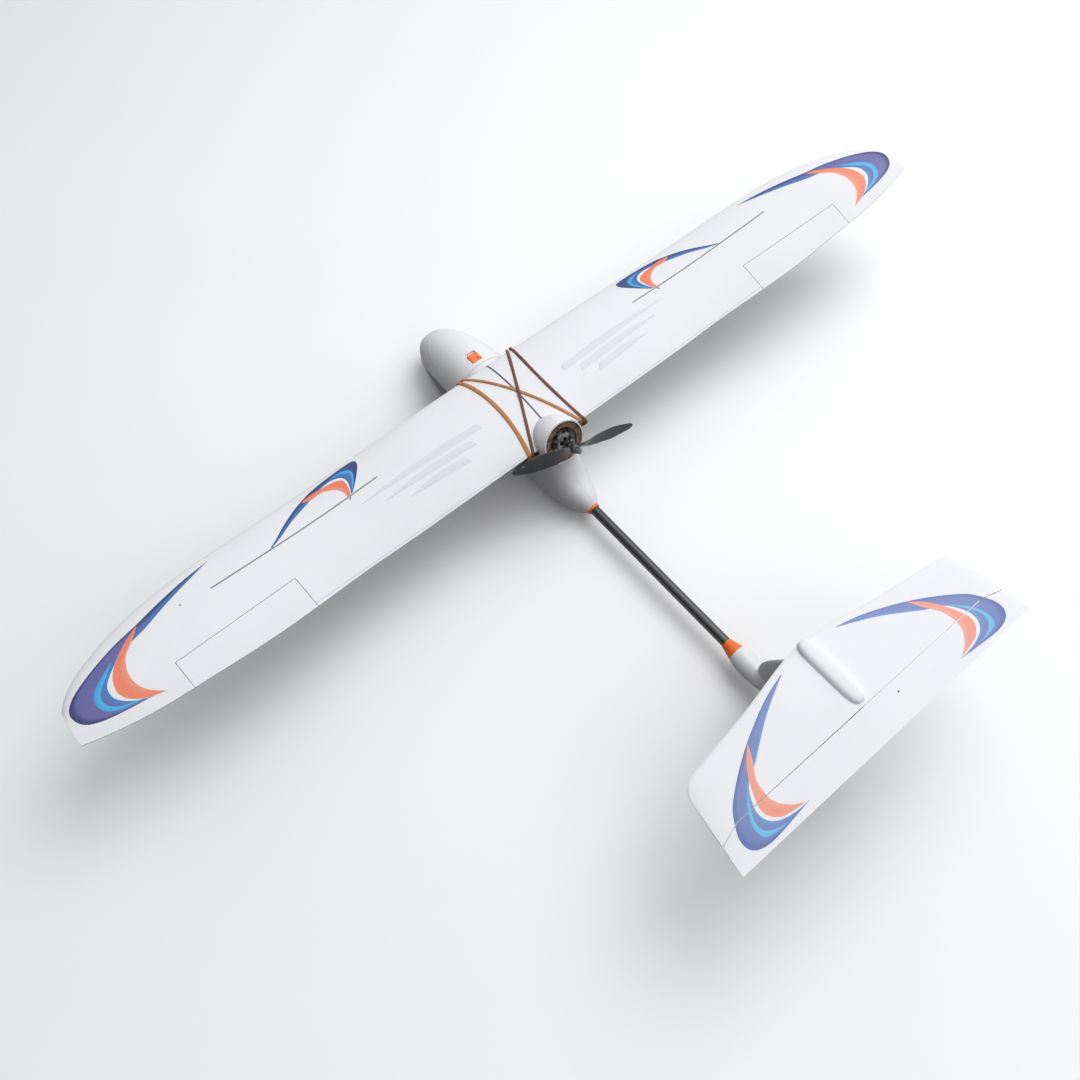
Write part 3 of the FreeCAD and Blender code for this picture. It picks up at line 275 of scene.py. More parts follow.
def film(name, stops, pale=0.0, lead=None):
    """Printed film on foam: stops run across the stripe, with lead's colours over its first third."""
    look = Look(name)
    split = look.tree.nodes.new("ShaderNodeSeparateXYZ")
    look.link(look.place.outputs["UV"], split.inputs[0])
    faded = [(p, tuple(c + (0.85 - c) * pale for c in colour)) for p, colour in stops]
    tone = look.ramp(split.outputs["Y"], faded)
    if lead:
        begun = look.ramp(split.outputs["X"], [(0.3, (0, 0, 0)), (0.42, (1, 1, 1))])
        tone = look.mix(begun, look.ramp(split.outputs["Y"], lead), tone)
    grain = look.noise(240.0, 4.0)
    tone = look.mix(look.mix(1.0, grain, (0.07, 0.07, 0.07), "MULTIPLY"), tone, (0.75, 0.76, 0.8))
    beads = look.cells(1.0 / (BEAD * MM), "DISTANCE_TO_EDGE")
    bump = look.bump(look.ramp(beads, [(0.0, (0, 0, 0)), (0.14, (1, 1, 1))]), 0.00008, 0.4)
    return look.finish(tone, look.range(grain, 0.36, 0.52), bump)


# ---- the finishes of the record's slots ------------------------------------------------------
WHITE = (0.80, 0.80, 0.825)
BODY_WHITE = (0.79, 0.79, 0.81)
ORANGE = (0.83, 0.14, 0.012)

FINISHES = {
    "wing_foam": lambda: foam("wing_foam_beads", WHITE),
    "body_foam": lambda: foam("body_foam_beads", BODY_WHITE, BODY_BEAD),
    "tail_foam": lambda: foam("tail_foam_beads", WHITE, BODY_BEAD),
    "tail_plastic": lambda: moulded("tail_fairing_plastic", (0.70, 0.70, 0.72), (0.3, 0.45), 700.0),
    "skid_plastic": lambda: moulded("skid_scuffed_plastic", (0.03, 0.03, 0.032), (0.5, 0.75), 500.0, 0.6),
    "orange_plastic": lambda: moulded("orange_moulding", ORANGE, (0.3, 0.45),
                                      800.0, 0.35, (0.9, 0.35, 0.1)),
    "plywood": lambda: ply("laser_cut_ply"),
    "carbon": lambda: carbon_tube("wrapped_carbon"),
    "spar_carbon": lambda: moulded("spar_carbon_strip", (0.19, 0.19, 0.195), (0.35, 0.5), 600.0),
    "rib_plastic": lambda: moulded("rib_moulding", (0.07, 0.07, 0.075), (0.4, 0.55), 700.0),
    "dowel_plastic": lambda: moulded("dowel_ribbed", (0.015, 0.015, 0.016), (0.4, 0.6), 300.0, 0.5),
    "band_tan": lambda: rubber("rubber_tan", (0.50, 0.22, 0.085), (0.36, 0.145, 0.05)),
    "band_brown": lambda: rubber("rubber_brown", (0.20, 0.078, 0.05), (0.12, 0.045, 0.03)),
    "stator_steel": lambda: metal("stator_laminations", (0.16, 0.16, 0.17),
                                  brush=(2000.0, 2000.0, 30.0)),
    "copper_wire": lambda: windings("copper_turns"),
    "screw_steel": lambda: metal("black_oxide_screw", (0.07, 0.07, 0.075),
                                 (0.3, 0.5), wear_colour=(0.4, 0.4, 0.4)),
    "bell_black": lambda: moulded("anodised_bell", (0.016, 0.016, 0.018),
                                  (0.25, 0.4), 1500.0, 0.6, coat=0.3),
    "adapter_black": lambda: moulded("anodised_adapter", (0.02, 0.02, 0.021),
                                     (0.2, 0.35), 1500.0, 0.8, coat=0.3),
    "prop_plastic": lambda: moulded("glass_filled_prop", (0.018, 0.019, 0.021), (0.32, 0.46), 380.0, 0.5),
    "servo_plastic": lambda: moulded("servo_case_tint", (0.03, 0.07, 0.25), (0.15, 0.3), 900.0, coat=0.4),
    "arm_nylon": lambda: moulded("white_nylon", (0.66, 0.65, 0.61), (0.35, 0.5), 700.0),
    "wire_steel": lambda: metal("music_wire", (0.55, 0.55, 0.56), (0.18, 0.3), (900.0, 40.0, 900.0)),
    "battery_wrap": lambda: moulded("battery_shrink", (0.02, 0.1, 0.3), (0.12, 0.3), 120.0, coat=0.6),
    "strap_web": lambda: webbing("strap_weave", (0.03, 0.03, 0.032)),
    "controller_wrap": lambda: moulded("controller_shrink", (0.35, 0.03, 0.02), (0.12, 0.3), 120.0, coat=0.6),
    "receiver_case": lambda: moulded("receiver_case_grain", (0.05, 0.05, 0.055), (0.35, 0.5), 900.0),
}


def dress_nodes():
    """Give every CAD node the detailed finish of its slot."""
    made = {}
    for node in NODES.values():
        for index, given in enumerate(node.data.materials):
            name = given.name.split(".")[0] if given else "wing_foam"
            if name not in made:
                made[name] = FINISHES[name]()
            node.data.materials[index] = made[name]
    return made


FINISH = dress_nodes()


# ---- trim laid on the foam -------------------------------------------------------------------
SIDES = {"left": 1, "right": -1}


def surface_of(*names):
    """Search tree of some nodes' faces in the row frame."""
    points, faces = [], []
    for name in names:
        node = NODES[name]
        start = len(points)
        points += [node.matrix_world @ v.co for v in node.data.vertices]
        faces += [[start + i for i in p.vertices] for p in node.data.polygons]
    return BVHTree.FromPolygons(points, faces)


def spline(knots, steps=12):
    """Points along a smooth curve through the knots."""
    knots = [Vector(k) for k in knots]
    padded = [knots[0] * 2 - knots[1]] + knots + [knots[-1] * 2 - knots[-2]]
    points = []
    for a, b, c, d in zip(padded, padded[1:], padded[2:], padded[3:]):
        for i in range(steps):
            t = i / steps
            points.append(0.5 * (2 * b + (c - a) * t + (2 * a - 5 * b + 4 * c - d) * t * t
                                 + (3 * b - a - 3 * c + d) * t ** 3))
    points.append(knots[-1])
    return points


def evenly(points, count):
    """The same path as count evenly spaced points."""
    reach = [0.0]
    for a, b in zip(points, points[1:]):
        reach.append(reach[-1] + (b - a).length)
    spaced = []
    k = 0
    for i in range(count):
        want = reach[-1] * i / (count - 1)
        while k < len(points) - 2 and reach[k + 1] < want:
            k += 1
        part = (want - reach[k]) / max(reach[k + 1] - reach[k], 1e-9)
        spaced.append(points[k].lerp(points[k + 1], min(part, 1.0)))
    return spaced


# The elevator's hinge line, in mm from the wing datum: straight out to HINGE_END, then swept back.
HINGE_Y, HINGE_END = 850.0, 243.0
SWEEP_BACK, SWEEP_OUT = 11.0, 39.0
GAP_EDGE = 0.6                # half the gap that the trim leaves open
GAP_KEEP = 0.5                # trim is kept where its faces' middles lie further from the line
GAP_SHY, GAP_SAFE = 1.9, 2.0  # nearer the gap than the first, the height is read at the second


def hinge_offset(x, y):
    """How far behind the elevator's hinge line a plan point lies, in mm."""
    return y - HINGE_Y - max(0.0, abs(x) - HINGE_END) * SWEEP_BACK / SWEEP_OUT


def drop(tree, x, y, lift):
    """The point that far above the surface over a plan point given from the wing datum, in mm."""
    behind = hinge_offset(x, y)
    if abs(behind) < GAP_SHY:
        shift = (GAP_SAFE if behind > 0 else -GAP_SAFE) - behind
        spot = drop(tree, x, y + shift, lift)
        spot.y -= shift * MM
        return spot
    start = at(x, y)
    start.z = 1.0
    hit, normal = tree.ray_cast(start, Vector((0, 0, -1)))[:2]
    if hit is None:
        hit, normal = tree.find_nearest(at(x, y))[:2]
    if normal.z < 0:
        normal = -normal
    return hit + normal * (lift * MM)


def new_object(name, mesh, finish, body):
    """Make a riding object of a finished bmesh."""
    data = bpy.data.meshes.new(name)
    mesh.to_mesh(data)
    mesh.free()
    for face in data.polygons:
        face.use_smooth = True
    data.materials.append(finish)
    made = bpy.data.objects.new(name, data)
    bpy.context.scene.collection.objects.link(made)
    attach(made, body)
    return made


def sheet(mesh, grid, marks, axis):
    """Fill a grid of vertices with faces that look along an axis, with its marks as UV."""
    uv = mesh.loops.layers.uv.new("UVMap")
    for a, b in zip(grid, grid[1:]):
        for j in range(len(a) - 1):
            face = mesh.faces.new([a[j], b[j], b[j + 1], a[j + 1]])
            for loop in face.loops:
                loop[uv].uv = marks[loop.vert]
    bmesh.ops.remove_doubles(mesh, verts=mesh.verts, dist=0.00002)
    bmesh.ops.recalc_face_normals(mesh, faces=mesh.faces)
    if sum(f.normal[axis] for f in mesh.faces) < 0:
        bmesh.ops.reverse_faces(mesh, faces=mesh.faces)


def strip_mesh(tree, side, outer, inner, lifts, cols):
    """Grid between two plan curves laid on a surface; lifts are its heights across, in mm."""
    mesh = bmesh.new()
    one, two = evenly(spline(outer), cols), evenly(spline(inner), cols)
    rows = len(lifts)
    grid, marks = [], {}
    for i in range(cols):
        line = []
        for j, lift in enumerate(lifts):
            plan = one[i].lerp(two[i], j / (rows - 1))
            vert = mesh.verts.new(drop(tree, side * plan.x, plan.y, lift))
            marks[vert] = (i / (cols - 1), j / (rows - 1))
            line.append(vert)
        grid.append(line)
    sheet(mesh, grid, marks, 2)
    return mesh


NAVY, VIOLET, MID_BLUE = (0.012, 0.027, 0.14), (0.105, 0.105, 0.33), (0.028, 0.17, 0.46)
CYAN, TRIM_ORANGE = (0.009, 0.31, 0.66), (0.78, 0.19, 0.09)
BLUE_STOPS = [(0.0, NAVY), (0.07, NAVY), (0.2, VIOLET), (0.72, VIOLET), (0.92, MID_BLUE)]
TAIL_EDGE, TAIL_TONE = (0.08, 0.13, 0.36), (0.125, 0.195, 0.44)
TAIL_RIM = (0.12, 0.27, 0.58)
PALE_STOPS = [(0.0, TAIL_EDGE), (0.1, TAIL_EDGE), (0.3, TAIL_TONE), (0.75, TAIL_TONE), (1.0, TAIL_RIM)]
DEEP_STOPS = [(0.0, NAVY), (0.4, (0.014, 0.04, 0.2)), (0.7, MID_BLUE), (1.0, (0.02, 0.1, 0.34))]
CYAN_STOPS = [(0.0, CYAN), (0.8, (0.03, 0.42, 0.74)), (1.0, CYAN)]
ORANGE_STOPS = [(0.0, (0.84, 0.20, 0.09)), (0.5, TRIM_ORANGE), (1.0, (0.82, 0.28, 0.17))]

# Heights of the films across their stripes, in mm; films that overlap lie at different heights.
FLAT = [0.14] * 7
OVER = [0.22] * 5
TOP_COAT = [0.28] * 5

# Outer and inner edges of the printed crescents: mm out from the centre and back from the wing datum.
# The points were read off the photo through the fitted camera; report.md lists this as a rule broken.
TIP_BLUE = ([(575, 36), (628, 47), (679, 62), (715, 74), (754, 85), (793, 100), (820, 113), (838, 124),
             (850, 138), (851, 153), (843, 168), (826, 177), (802, 182), (775, 185), (749, 187),
             (728, 191)],
            [(575, 36), (632, 57), (672, 73), (706, 88), (734, 97), (757, 107), (777, 123), (790, 137),
             (793, 150), (790, 162), (777, 175), (758, 184), (728, 191)])
TIP_ORANGE = ([(713, 75), (734, 87), (757, 105), (773, 122), (782, 141), (783, 158), (775, 172),
               (758, 183), (728, 191)],
              [(713, 75), (726, 91), (738, 102), (748, 112), (754, 124), (758, 139), (757, 158),
               (748, 175), (728, 192)])
TIP_CYAN = ([(768, 107), (794, 123), (810, 137), (816, 152), (811, 168), (795, 178), (773, 182),
             (754, 184)],
            [(768, 107), (784, 124), (799, 138), (806, 152), (802, 165), (790, 174), (772, 179.5),
             (754, 184)])
MID_BLUE_TRIM = ([(496, 83), (475, 71), (448, 53), (423, 39), (400, 29), (379, 22), (341, 16),
                  (303, 14), (292, 18), (293, 29), (302, 42), (314, 56), (327, 69), (342, 83)],
                 [(496, 84), (467, 72), (436, 56), (411, 46.5), (391, 39), (374, 32), (358, 28),
                  (345, 27), (332, 31), (326, 38), (325, 50), (331, 67), (342, 83)])
MID_ORANGE = ([(405, 33), (385, 29.5), (366, 30.5), (347, 32), (335, 36), (329, 42), (329, 53),
               (333, 68), (342, 83)],
              [(405, 34), (390, 39.5), (374, 38), (361, 41), (348, 50), (342, 61), (341, 72), (342, 84)])
MID_CYAN = ([(340, 21), (320, 23), (309, 30), (309, 42), (318, 57), (330, 70)],
            [(340, 22), (326, 26.5), (315, 33), (314, 42), (321, 56), (330, 70)])
TAIL_BLUE = ([(55, 746), (93, 756), (129, 770), (165, 787), (193, 803), (220, 821), (238, 836),
              (251, 855), (257, 868), (257, 880), (251, 889), (240, 894), (224, 896), (204, 895),
              (182, 893), (152, 890)],
             [(55, 747), (90, 763), (119, 778), (148, 796), (172, 811), (190, 819), (202, 830),
              (210, 843), (215, 856), (214, 868), (206, 879), (190, 886), (172, 889), (152, 890)])
TAIL_ORANGE = ([(160, 785), (178, 801), (190, 816), (200, 834), (208, 853), (208, 866), (200, 877),
                (186, 884), (152, 889)],
               [(160, 786), (170, 804), (179, 817), (186, 828), (189, 842), (189, 857), (182, 870),
                (170, 881), (152, 890)])
TAIL_CYAN = ([(202, 827), (221, 846), (231, 863), (233, 876), (228, 887), (213, 891), (191, 892)],
             [(202, 827), (217, 847), (225, 862), (226, 873), (221, 882), (209, 888), (191, 892)])


WING_COLS, TAIL_COLS, STRIPE_COLS = 90, 80, 60      # points along each kind of strip


def wing_trim(side_name, side):
    """Printed crescents at the tip and at the inner end of the outer panel."""
    tree = surface_of("wing_" + side_name)
    trims = {"tip_blue": (TIP_BLUE, FLAT, BLUE), "tip_orange": (TIP_ORANGE, TOP_COAT, ORANGE_FILM),
             "tip_cyan": (TIP_CYAN, OVER, CYAN_FILM), "mid_blue": (MID_BLUE_TRIM, FLAT, DEEP_BLUE),
             "mid_orange": (MID_ORANGE, TOP_COAT, ORANGE_FILM), "mid_cyan": (MID_CYAN, OVER, CYAN_FILM)}
    for name, (edges, lifts, finish) in trims.items():
        mesh = strip_mesh(tree, side, edges[0], edges[1], lifts, WING_COLS)
        new_object("trim_" + name + "_" + side_name, mesh, finish, "airframe")


def cut_at_hinge(mesh, side):
    """Split the faces along both edges of the elevator gap."""
    for gap in (-GAP_EDGE, GAP_EDGE):
        straight = (at(0, HINGE_Y + gap), (0, 1, 0))
        swept = (at(side * HINGE_END, HINGE_Y + gap), (-side * SWEEP_BACK, SWEEP_OUT, 0))
        for point, normal in (straight, swept):
            everything = mesh.verts[:] + mesh.edges[:] + mesh.faces[:]
            bmesh.ops.bisect_plane(mesh, geom=everything, plane_co=point, plane_no=normal)


def tail_trim(side_name, side):
    """Paler crescents on the tailplane, parted at the elevator so that each half moves with its surface."""
    tree = surface_of("tailplane", "elevator")
    origin = at(0, 0)
    trims = {"blue": (TAIL_BLUE, FLAT, PALE_BLUE), "orange": (TAIL_ORANGE, TOP_COAT, PALE_ORANGE),
             "cyan": (TAIL_CYAN, OVER, PALE_CYAN)}
    for name, (edges, lifts, finish) in trims.items():
        for part, body in (("fixed", "airframe"), ("moving", "elevator_body")):
            mesh = strip_mesh(tree, side, edges[0], edges[1], lifts, TAIL_COLS)
            cut_at_hinge(mesh, side)
            away = []
            for face in mesh.faces:
                spot = (face.calc_center_median() - origin) / MM
                behind = hinge_offset(spot.x, spot.y)
                if (behind if part == "moving" else -behind) <= GAP_KEEP:
                    away.append(face)
            bmesh.ops.delete(mesh, geom=away, context="FACES")
            new_object("trim_tail_" + name + "_" + part + "_" + side_name, mesh, finish, body)


RAISED = [0.0, 0.55, 0.8, 0.8, 0.8, 0.55, 0.0]      # mm across an embossed stripe
LIP = [0.0, 0.35, 0.45, 0.35, 0.0]
LIP_WIDTH = 3.0
STRIPE_FROM, STRIPE_TO, STRIPE_Y = 96.0, 330.0, 96.0        # mm: the front stripe
STRIPE_IN, STRIPE_OUT, STRIPE_PITCH = 26.0, 34.0, 19.0      # mm that each next one is shorter and set back


def speed_stripes(side_name, side):
    """Three embossed tapering stripes moulded into the inner wing panel, greyed as painted shade."""
    tree = surface_of("wing_" + side_name)
    for i in range(3):
        inner_x, outer_x = STRIPE_FROM + STRIPE_IN * i, STRIPE_TO - STRIPE_OUT * i
        y = STRIPE_Y + STRIPE_PITCH * i
        third = (outer_x - inner_x) / 3
        near, far = inner_x + third, outer_x - third
        front = [(inner_x, y), (near, y - 3.5), (far, y - 3.0), (outer_x, y + 3.0)]
        back = [(inner_x - 6, y + 13), (near, y + 10), (far, y + 7), (outer_x, y + 4)]
        mesh = strip_mesh(tree, side, front, back, RAISED, STRIPE_COLS)
        new_object("stripe_%s_%d" % (side_name, i + 1), mesh, EMBOSS_PAINTED_SHADE, "airframe")


def trailing_lip(side_name, side):
    """Slightly proud moulded lip just inside the inner panel's trailing edge, greyed as painted shade."""
    tree = surface_of("wing_" + side_name)
    front = [(66, 189.5), (200, 189.5), (340, 189.5), (420, 191.5), (484, 194.5)]
    back = [(x, y + LIP_WIDTH) for x, y in front]
    mesh = strip_mesh(tree, side, front, back, LIP, STRIPE_COLS)
    new_object("trailing_lip_" + side_name, mesh, EMBOSS_PAINTED_SHADE, "airframe")


BLUE = film("film_blue", BLUE_STOPS, lead=DEEP_STOPS)
DEEP_BLUE = film("film_blue_deep", DEEP_STOPS)
ORANGE_FILM = film("film_orange", ORANGE_STOPS)
CYAN_FILM = film("film_cyan", CYAN_STOPS)
PALE_BLUE = film("film_blue_pale", PALE_STOPS)
PALE_ORANGE = film("film_orange_pale", ORANGE_STOPS, 0.12)
PALE_CYAN = film("film_cyan_pale", CYAN_STOPS, 0.12)
# Painted shade: the stripes and lip are foam greyer than the wing's, for the shade along their edges.
EMBOSS_PAINTED_SHADE = foam("foam_embossed_painted_shade", (0.72, 0.72, 0.75))

for given_name, given_side in SIDES.items():
    wing_trim(given_name, given_side)
    tail_trim(given_name, given_side)
    speed_stripes(given_name, given_side)
    trailing_lip(given_name, given_side)


# ---- rubber bands ----------------------------------------------------------------------------
FRONT_DOWEL, REAR_DOWEL = (14.0, -27.0), (191.5, -16.5)     # mm: y and z of their middles
DOWEL_R = 3.0
WING_TREE = surface_of("wing_left", "wing_right", "centre_rib")
WRAP_STEPS, WING_STEPS, COIL_STEPS, STRAP_POINTS = 8, 40, 48, 220
WING_FROM, WING_RUN = -1.6, 197.6           # mm: where a strand's path over the wing starts, and its length
CHORD = (0.4, 194.0)                        # mm: heights are read between these
AIR = 0.35                                  # mm left between the foam and a strand
CROSSING, CROSSING_HALF = 0.455, 0.12       # along a strand: where it crosses another, half the hump
BAND_THICK = 1.5
# A strand's section: parts of its width across, and of its thickness up.
BAND_SECTION = [(-0.5, 0.25), (-0.47, 0.75), (-0.38, 1.0), (0.0, 1.06), (0.38, 1.0), (0.47, 0.75),
                (0.5, 0.25), (0.4, 0.0), (0.0, 0.0), (-0.4, 0.0)]


def wrap(x, centre, first, last, radius):
    """Arc round a dowel, angles in degrees from the rearward direction, as mm points."""
    points = []
    for i in range(WRAP_STEPS + 1):
        angle = math.radians(first + (last - first) * i / WRAP_STEPS)
        y, z = centre[0] + radius * math.cos(angle), centre[1] + radius * math.sin(angle)
        points.append(Vector((x, y, z)))
    return points


def over_wing(ends, bow, hump):
    """Path over the wing in mm, bowed sideways and lifted where it crosses another strand."""
    points = []
    for i in range(WING_STEPS + 1):
        t = i / WING_STEPS
        x = ends[0] + (ends[1] - ends[0]) * t + 4 * bow * t * (1 - t)
        y = WING_FROM + WING_RUN * t
        read_y = min(max(y, CHORD[0]), CHORD[1])
        top = max((drop(WING_TREE, x + e, read_y, 0.0).z - WING_Z) / MM for e in (-2, 0, 2))
        lift = hump * max(0.0, 1 - ((t - CROSSING) / CROSSING_HALF) ** 2) ** 2
        points.append(Vector((x, y, top + AIR + lift)))
    return points


def strap(name, path, width, thick, finish, seed):
    """Soft-edged flat rubber strand swept along a path given in mm."""
    rng = random.Random(seed)
    points = evenly(path, STRAP_POINTS)
    mesh = bmesh.new()
    uv = mesh.loops.layers.uv.new("UVMap")
    phase, length = rng.uniform(0, 6.28), 0.0
    rings, marks = [], {}
    for i, spot in enumerate(points):
        along = (points[min(i + 1, STRAP_POINTS - 1)] - points[max(i - 1, 0)]).normalized()
        side = Vector((-1, 0, 0))
        side = (side - along * side.dot(along)).normalized()
        out = along.cross(side)
        breadth = width * (1 + 0.05 * math.sin(i * 0.11 + phase) + rng.uniform(-0.012, 0.012))
        length += (spot - points[max(i - 1, 0)]).length
        ring = []
        for k, (w, h) in enumerate(BAND_SECTION):
            p = spot + side * (w * breadth) + out * (h * thick)
            vert = mesh.verts.new(at(p.x, p.y, p.z))
            marks[vert] = (length * MM, (w + 0.5) * width * MM)
            ring.append(vert)
        rings.append(ring)
    count = len(BAND_SECTION)
    for a, b in zip(rings, rings[1:]):
        for k in range(count):
            face = mesh.faces.new([a[k], b[k], b[(k + 1) % count], a[(k + 1) % count]])
            for loop in face.loops:
                loop[uv].uv = marks[loop.vert]
    mesh.faces.new(rings[0])
    mesh.faces.new(rings[-1][::-1])
    bmesh.ops.recalc_face_normals(mesh, faces=mesh.faces)
    return new_object(name, mesh, finish, "airframe")


def wing_band(node, ends, dowel_xs, bow, width, hump, slot, seed):
    """A whole strand: round the front dowel, over the wing and round the rear dowel."""
    turn = DOWEL_R + 0.25
    path = wrap(dowel_xs[0], FRONT_DOWEL, 50, -180, turn)
    path += over_wing(ends, bow, hump)
    path += wrap(dowel_xs[1], REAR_DOWEL, 0, -230, turn)
    name = node.replace("rubber_band", "strand")
    made = strap(name, spline(path, 4), width, BAND_THICK, FINISH[slot], seed)
    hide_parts(node)


def bunch(name, x, spread, finish, seed):
    """Coils of spare band wound round a dowel end."""
    rng = random.Random(seed)
    for i in range(5):
        centre_x = x + spread * (i - 2) / 4
        radius = DOWEL_R + 1.2 + rng.uniform(0.0, 1.3)
        path = []
        for k in range(COIL_STEPS + 1):
            angle = 2 * math.pi * k / COIL_STEPS
            along = centre_x + 0.5 * math.sin(3 * angle + i) + rng.uniform(-0.05, 0.05)
            back = (radius + 0.25 * math.sin(2 * angle + i)) * math.cos(-angle)
            up = (radius + 0.25 * math.cos(3 * angle)) * math.sin(-angle)
            path.append(Vector((along, REAR_DOWEL[0] + back, REAR_DOWEL[1] + up)))
        strap("%s_%d" % (name, i + 1), path, 3.4, 1.6, finish, seed + i)


wing_band("rubber_band_left", (60.0, 59.0), (62.2, 60.5), -13.0, 7.5, 0.0, "band_tan", 1)
wing_band("rubber_band_right", (-57.5, -59.5), (-60.5, -60.0), 9.5, 5.4, 0.0, "band_brown", 2)
wing_band("rubber_band_cross_a", (51.0, -53.0), (55.3, -54.0), -5.0, 5.4, 0.0, "band_tan", 3)
wing_band("rubber_band_cross_b", (-50.0, 51.5), (-54.5, 53.0), 0.0, 5.4, 1.9, "band_brown", 4)
DEEP_RED = rubber("rubber_deep_red", (0.13, 0.035, 0.018), (0.07, 0.018, 0.01))
bunch("coils_right", -61.0, 10.0, DEEP_RED, 5)


# ---- nose stripes and small marks ------------------------------------------------------------
FLANK_COLS, FLANK_ROWS, FLANK_LIFT = 40, 5, 0.2


def side_stripe(name, upper, lower, finish):
    """Thin film laid on the left flank of the nose; edges given as (y, z) in mm."""
    tree = surface_of("fuselage_left_shell", "canopy_hatch")
    mesh = bmesh.new()
    one, two = evenly(spline(upper), FLANK_COLS), evenly(spline(lower), FLANK_COLS)
    grid, marks = [], {}
    for i in range(FLANK_COLS):
        line = []
        for j in range(FLANK_ROWS):
            across = j / (FLANK_ROWS - 1)
            spot = one[i].lerp(two[i], across)
            start = at(0, spot.x, spot.y)
            start.x = 0.3
            hit, normal = tree.ray_cast(start, Vector((-1, 0, 0)))[:2]
            vert = mesh.verts.new(hit + normal * (FLANK_LIFT * MM))
            marks[vert] = (i / (FLANK_COLS - 1), across)
            line.append(vert)
        grid.append(line)
    sheet(mesh, grid, marks, 0)
    new_object(name, mesh, finish, "airframe")


PIT_SIDES = 8


def pit(name, tree, x, y, radius, body):
    """Tiny dimple in the foam, dark grey as painted shade of its hollow."""
    mesh = bmesh.new()
    rim = []
    for k in range(PIT_SIDES):
        angle = 2 * math.pi * k / PIT_SIDES
        spot = drop(tree, x + radius * math.cos(angle), y + radius * math.sin(angle), 0.1)
        rim.append(mesh.verts.new(spot))
    middle = mesh.verts.new(drop(tree, x, y, 0.06))
    for a, b in zip(rim, rim[1:] + rim[:1]):
        mesh.faces.new([a, b, middle])
    new_object(name, mesh, PIT_PAINTED_SHADE, body)


BLACK_FILM = film("film_black", [(0.0, (0.012, 0.012, 0.013)), (1.0, (0.018, 0.018, 0.02))])
# Painted shade: the lower nose stripe is orange print darkened to brown for the shaded flank.
SHADED_ORANGE_STOPS = [(0.0, (0.30, 0.085, 0.03)), (0.5, (0.36, 0.11, 0.045)), (1.0, (0.26, 0.07, 0.03))]
SHADED_ORANGE_FILM = film("film_orange_painted_shade", SHADED_ORANGE_STOPS)
# Painted shade: the pits' dark grey stands in for the shade inside the dimples.
PIT_PAINTED_SHADE = moulded("foam_pit_painted_shade", (0.1, 0.1, 0.11), (0.7, 0.9))
side_stripe("stripe_nose_black",
            [(-128, -85), (-104, -77), (-76, -68), (-40, -62), (-16, -60), (36, -62), (88, -71)],
            [(-128, -86), (-104, -88), (-76, -87), (-40, -83), (-16, -80), (36, -76), (88, -72)],
            BLACK_FILM)
side_stripe("stripe_nose_rust",
            [(-92, -89.5), (-66, -88), (-40, -85), (-16, -82), (30, -79), (66, -77)],
            [(-92, -90), (-66, -97), (-40, -99), (-16, -97), (30, -89), (66, -78)],
            SHADED_ORANGE_FILM)
pit("pit_wing", surface_of("wing_left"), 646.8, 83.9, 1.5, "airframe")
pit("pit_elevator", surface_of("elevator"), -48.9, 866.0, 1.5, "elevator_body")


# ---- floor, light and camera -----------------------------------------------------------------
def floor():
    """A large flat pale floor that throws no diffuse light back onto the model."""
    mesh = bmesh.new()
    bmesh.ops.create_grid(mesh, x_segments=2, y_segments=2, size=40.0)
    data = bpy.data.meshes.new("floor")
    mesh.to_mesh(data)
    mesh.free()
    made = bpy.data.objects.new("floor", data)
    bpy.context.scene.collection.objects.link(made)
    look = Look("pale_floor")
    speck = look.noise(3.0, 3.0)
    tone = look.mix(speck, (0.90, 0.90, 0.90), (0.93, 0.93, 0.93))
    data.materials.append(look.finish(tone, 0.9))
    made.visible_diffuse = False


def area_light(name, place, aim, size, power, tint=(1, 1, 1)):
    data = bpy.data.lights.new(name, "AREA")
    data.shape = "DISK"
    data.size = size
    data.energy = power
    data.color = tint
    made = bpy.data.objects.new(name, data)
    made.location = place
    made.rotation_euler = (Vector(aim) - Vector(place)).to_track_quat("-Z", "Y").to_euler()
    bpy.context.scene.collection.objects.link(made)


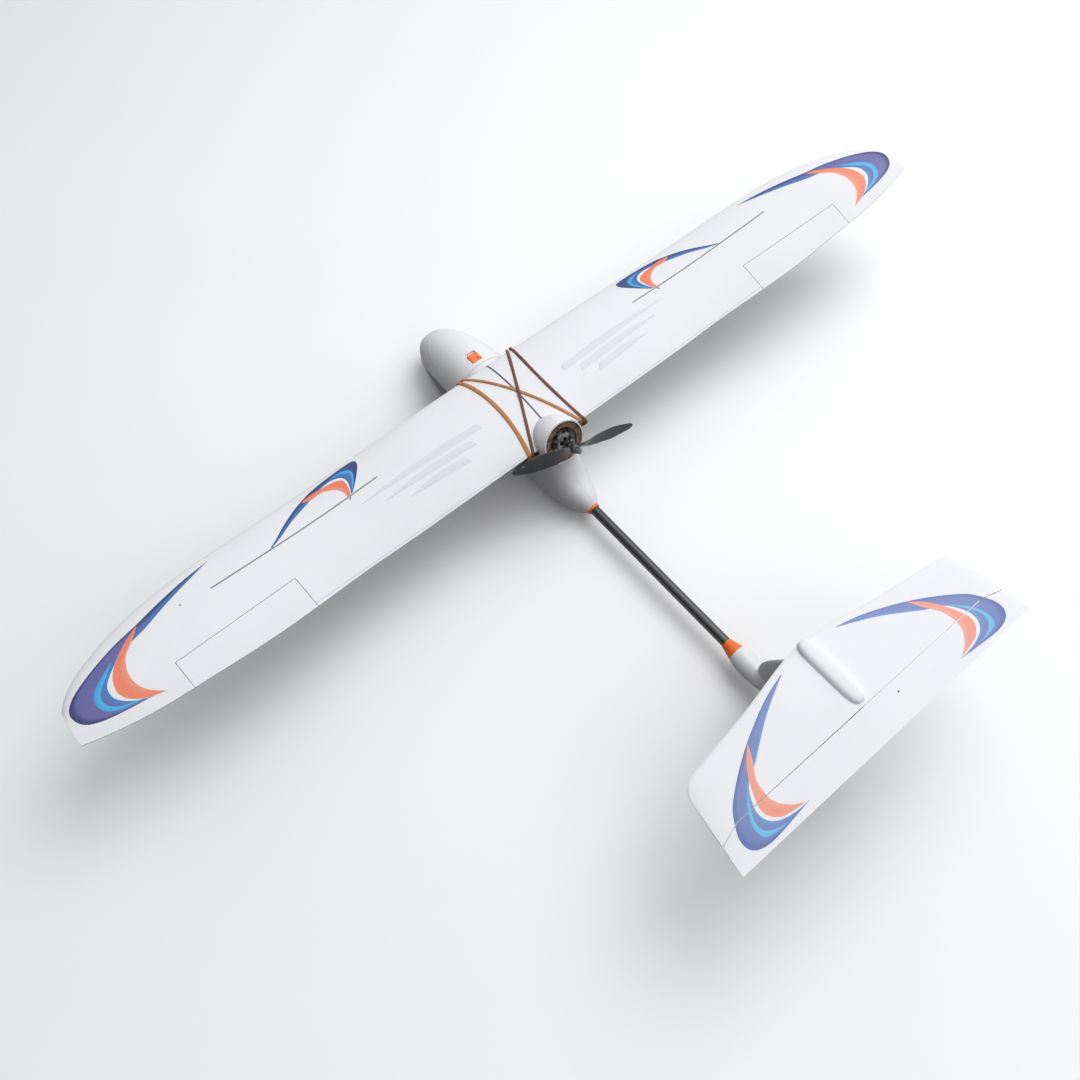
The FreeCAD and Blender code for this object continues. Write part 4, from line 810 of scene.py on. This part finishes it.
def surround():
    """Pale studio dome, brightest above the right wing and dim towards the left flank and below."""
    world = bpy.data.worlds.new("surround")
    world.use_nodes = True
    tree = world.node_tree
    place = tree.nodes.new("ShaderNodeTexCoord")
    facing = tree.nodes.new("ShaderNodeVectorMath")
    facing.operation = "DOT_PRODUCT"
    facing.inputs[1].default_value = Vector((-0.62, -0.18, 0.76)).normalized()
    tree.links.new(place.outputs["Generated"], facing.inputs[0])
    ramp = tree.nodes.new("ShaderNodeValToRGB")
    ramp.color_ramp.elements[0].position = 0.0
    ramp.color_ramp.elements[0].color = (0.12, 0.12, 0.125, 1)
    ramp.color_ramp.elements[1].position = 0.85
    ramp.color_ramp.elements[1].color = (0.97, 0.98, 1.0, 1)
    tree.links.new(facing.outputs["Value"], ramp.inputs["Fac"])
    back = tree.nodes["Background"]
    tree.links.new(ramp.outputs["Color"], back.inputs["Color"])
    back.inputs["Strength"].default_value = 0.9
    bpy.context.scene.world = world


def studio():
    """Big soft sources overhead and a pale surround."""
    area_light("key", (-1.6, -0.2, 3.0), (0, 0.1, 0.1), 2.6, 60.0)
    area_light("fill", (-0.4, 2.2, 2.8), (0, 0.2, 0.1), 2.4, 14.0, (0.97, 0.98, 1.0))
    surround()
    bpy.context.scene.view_settings.view_transform = "Standard"


# The camera was fitted to the photo: its place in mm from the wing datum, its directions and its lens.
EYE = at(573.716, 906.176, 1380.291)
SIGHT = Vector((-0.274696, -0.371207, -0.886988))
UP = Vector((-0.574924, -0.676002, 0.460960))
LENS_MM = 32.325


def camera():
    """Above and behind the left wing, looking down past the tail, rolled with the photographer."""
    data = bpy.data.cameras.new("camera")
    data.lens = LENS_MM
    data.sensor_width = 36.0
    data.clip_start = 0.02
    made = bpy.data.objects.new("camera", data)
    side = SIGHT.cross(UP)
    turn = Matrix((side, UP, -SIGHT)).transposed().to_4x4()
    made.matrix_world = Matrix.Translation(EYE) @ turn
    bpy.context.scene.collection.objects.link(made)
    bpy.context.scene.camera = made


floor()
studio()
camera()
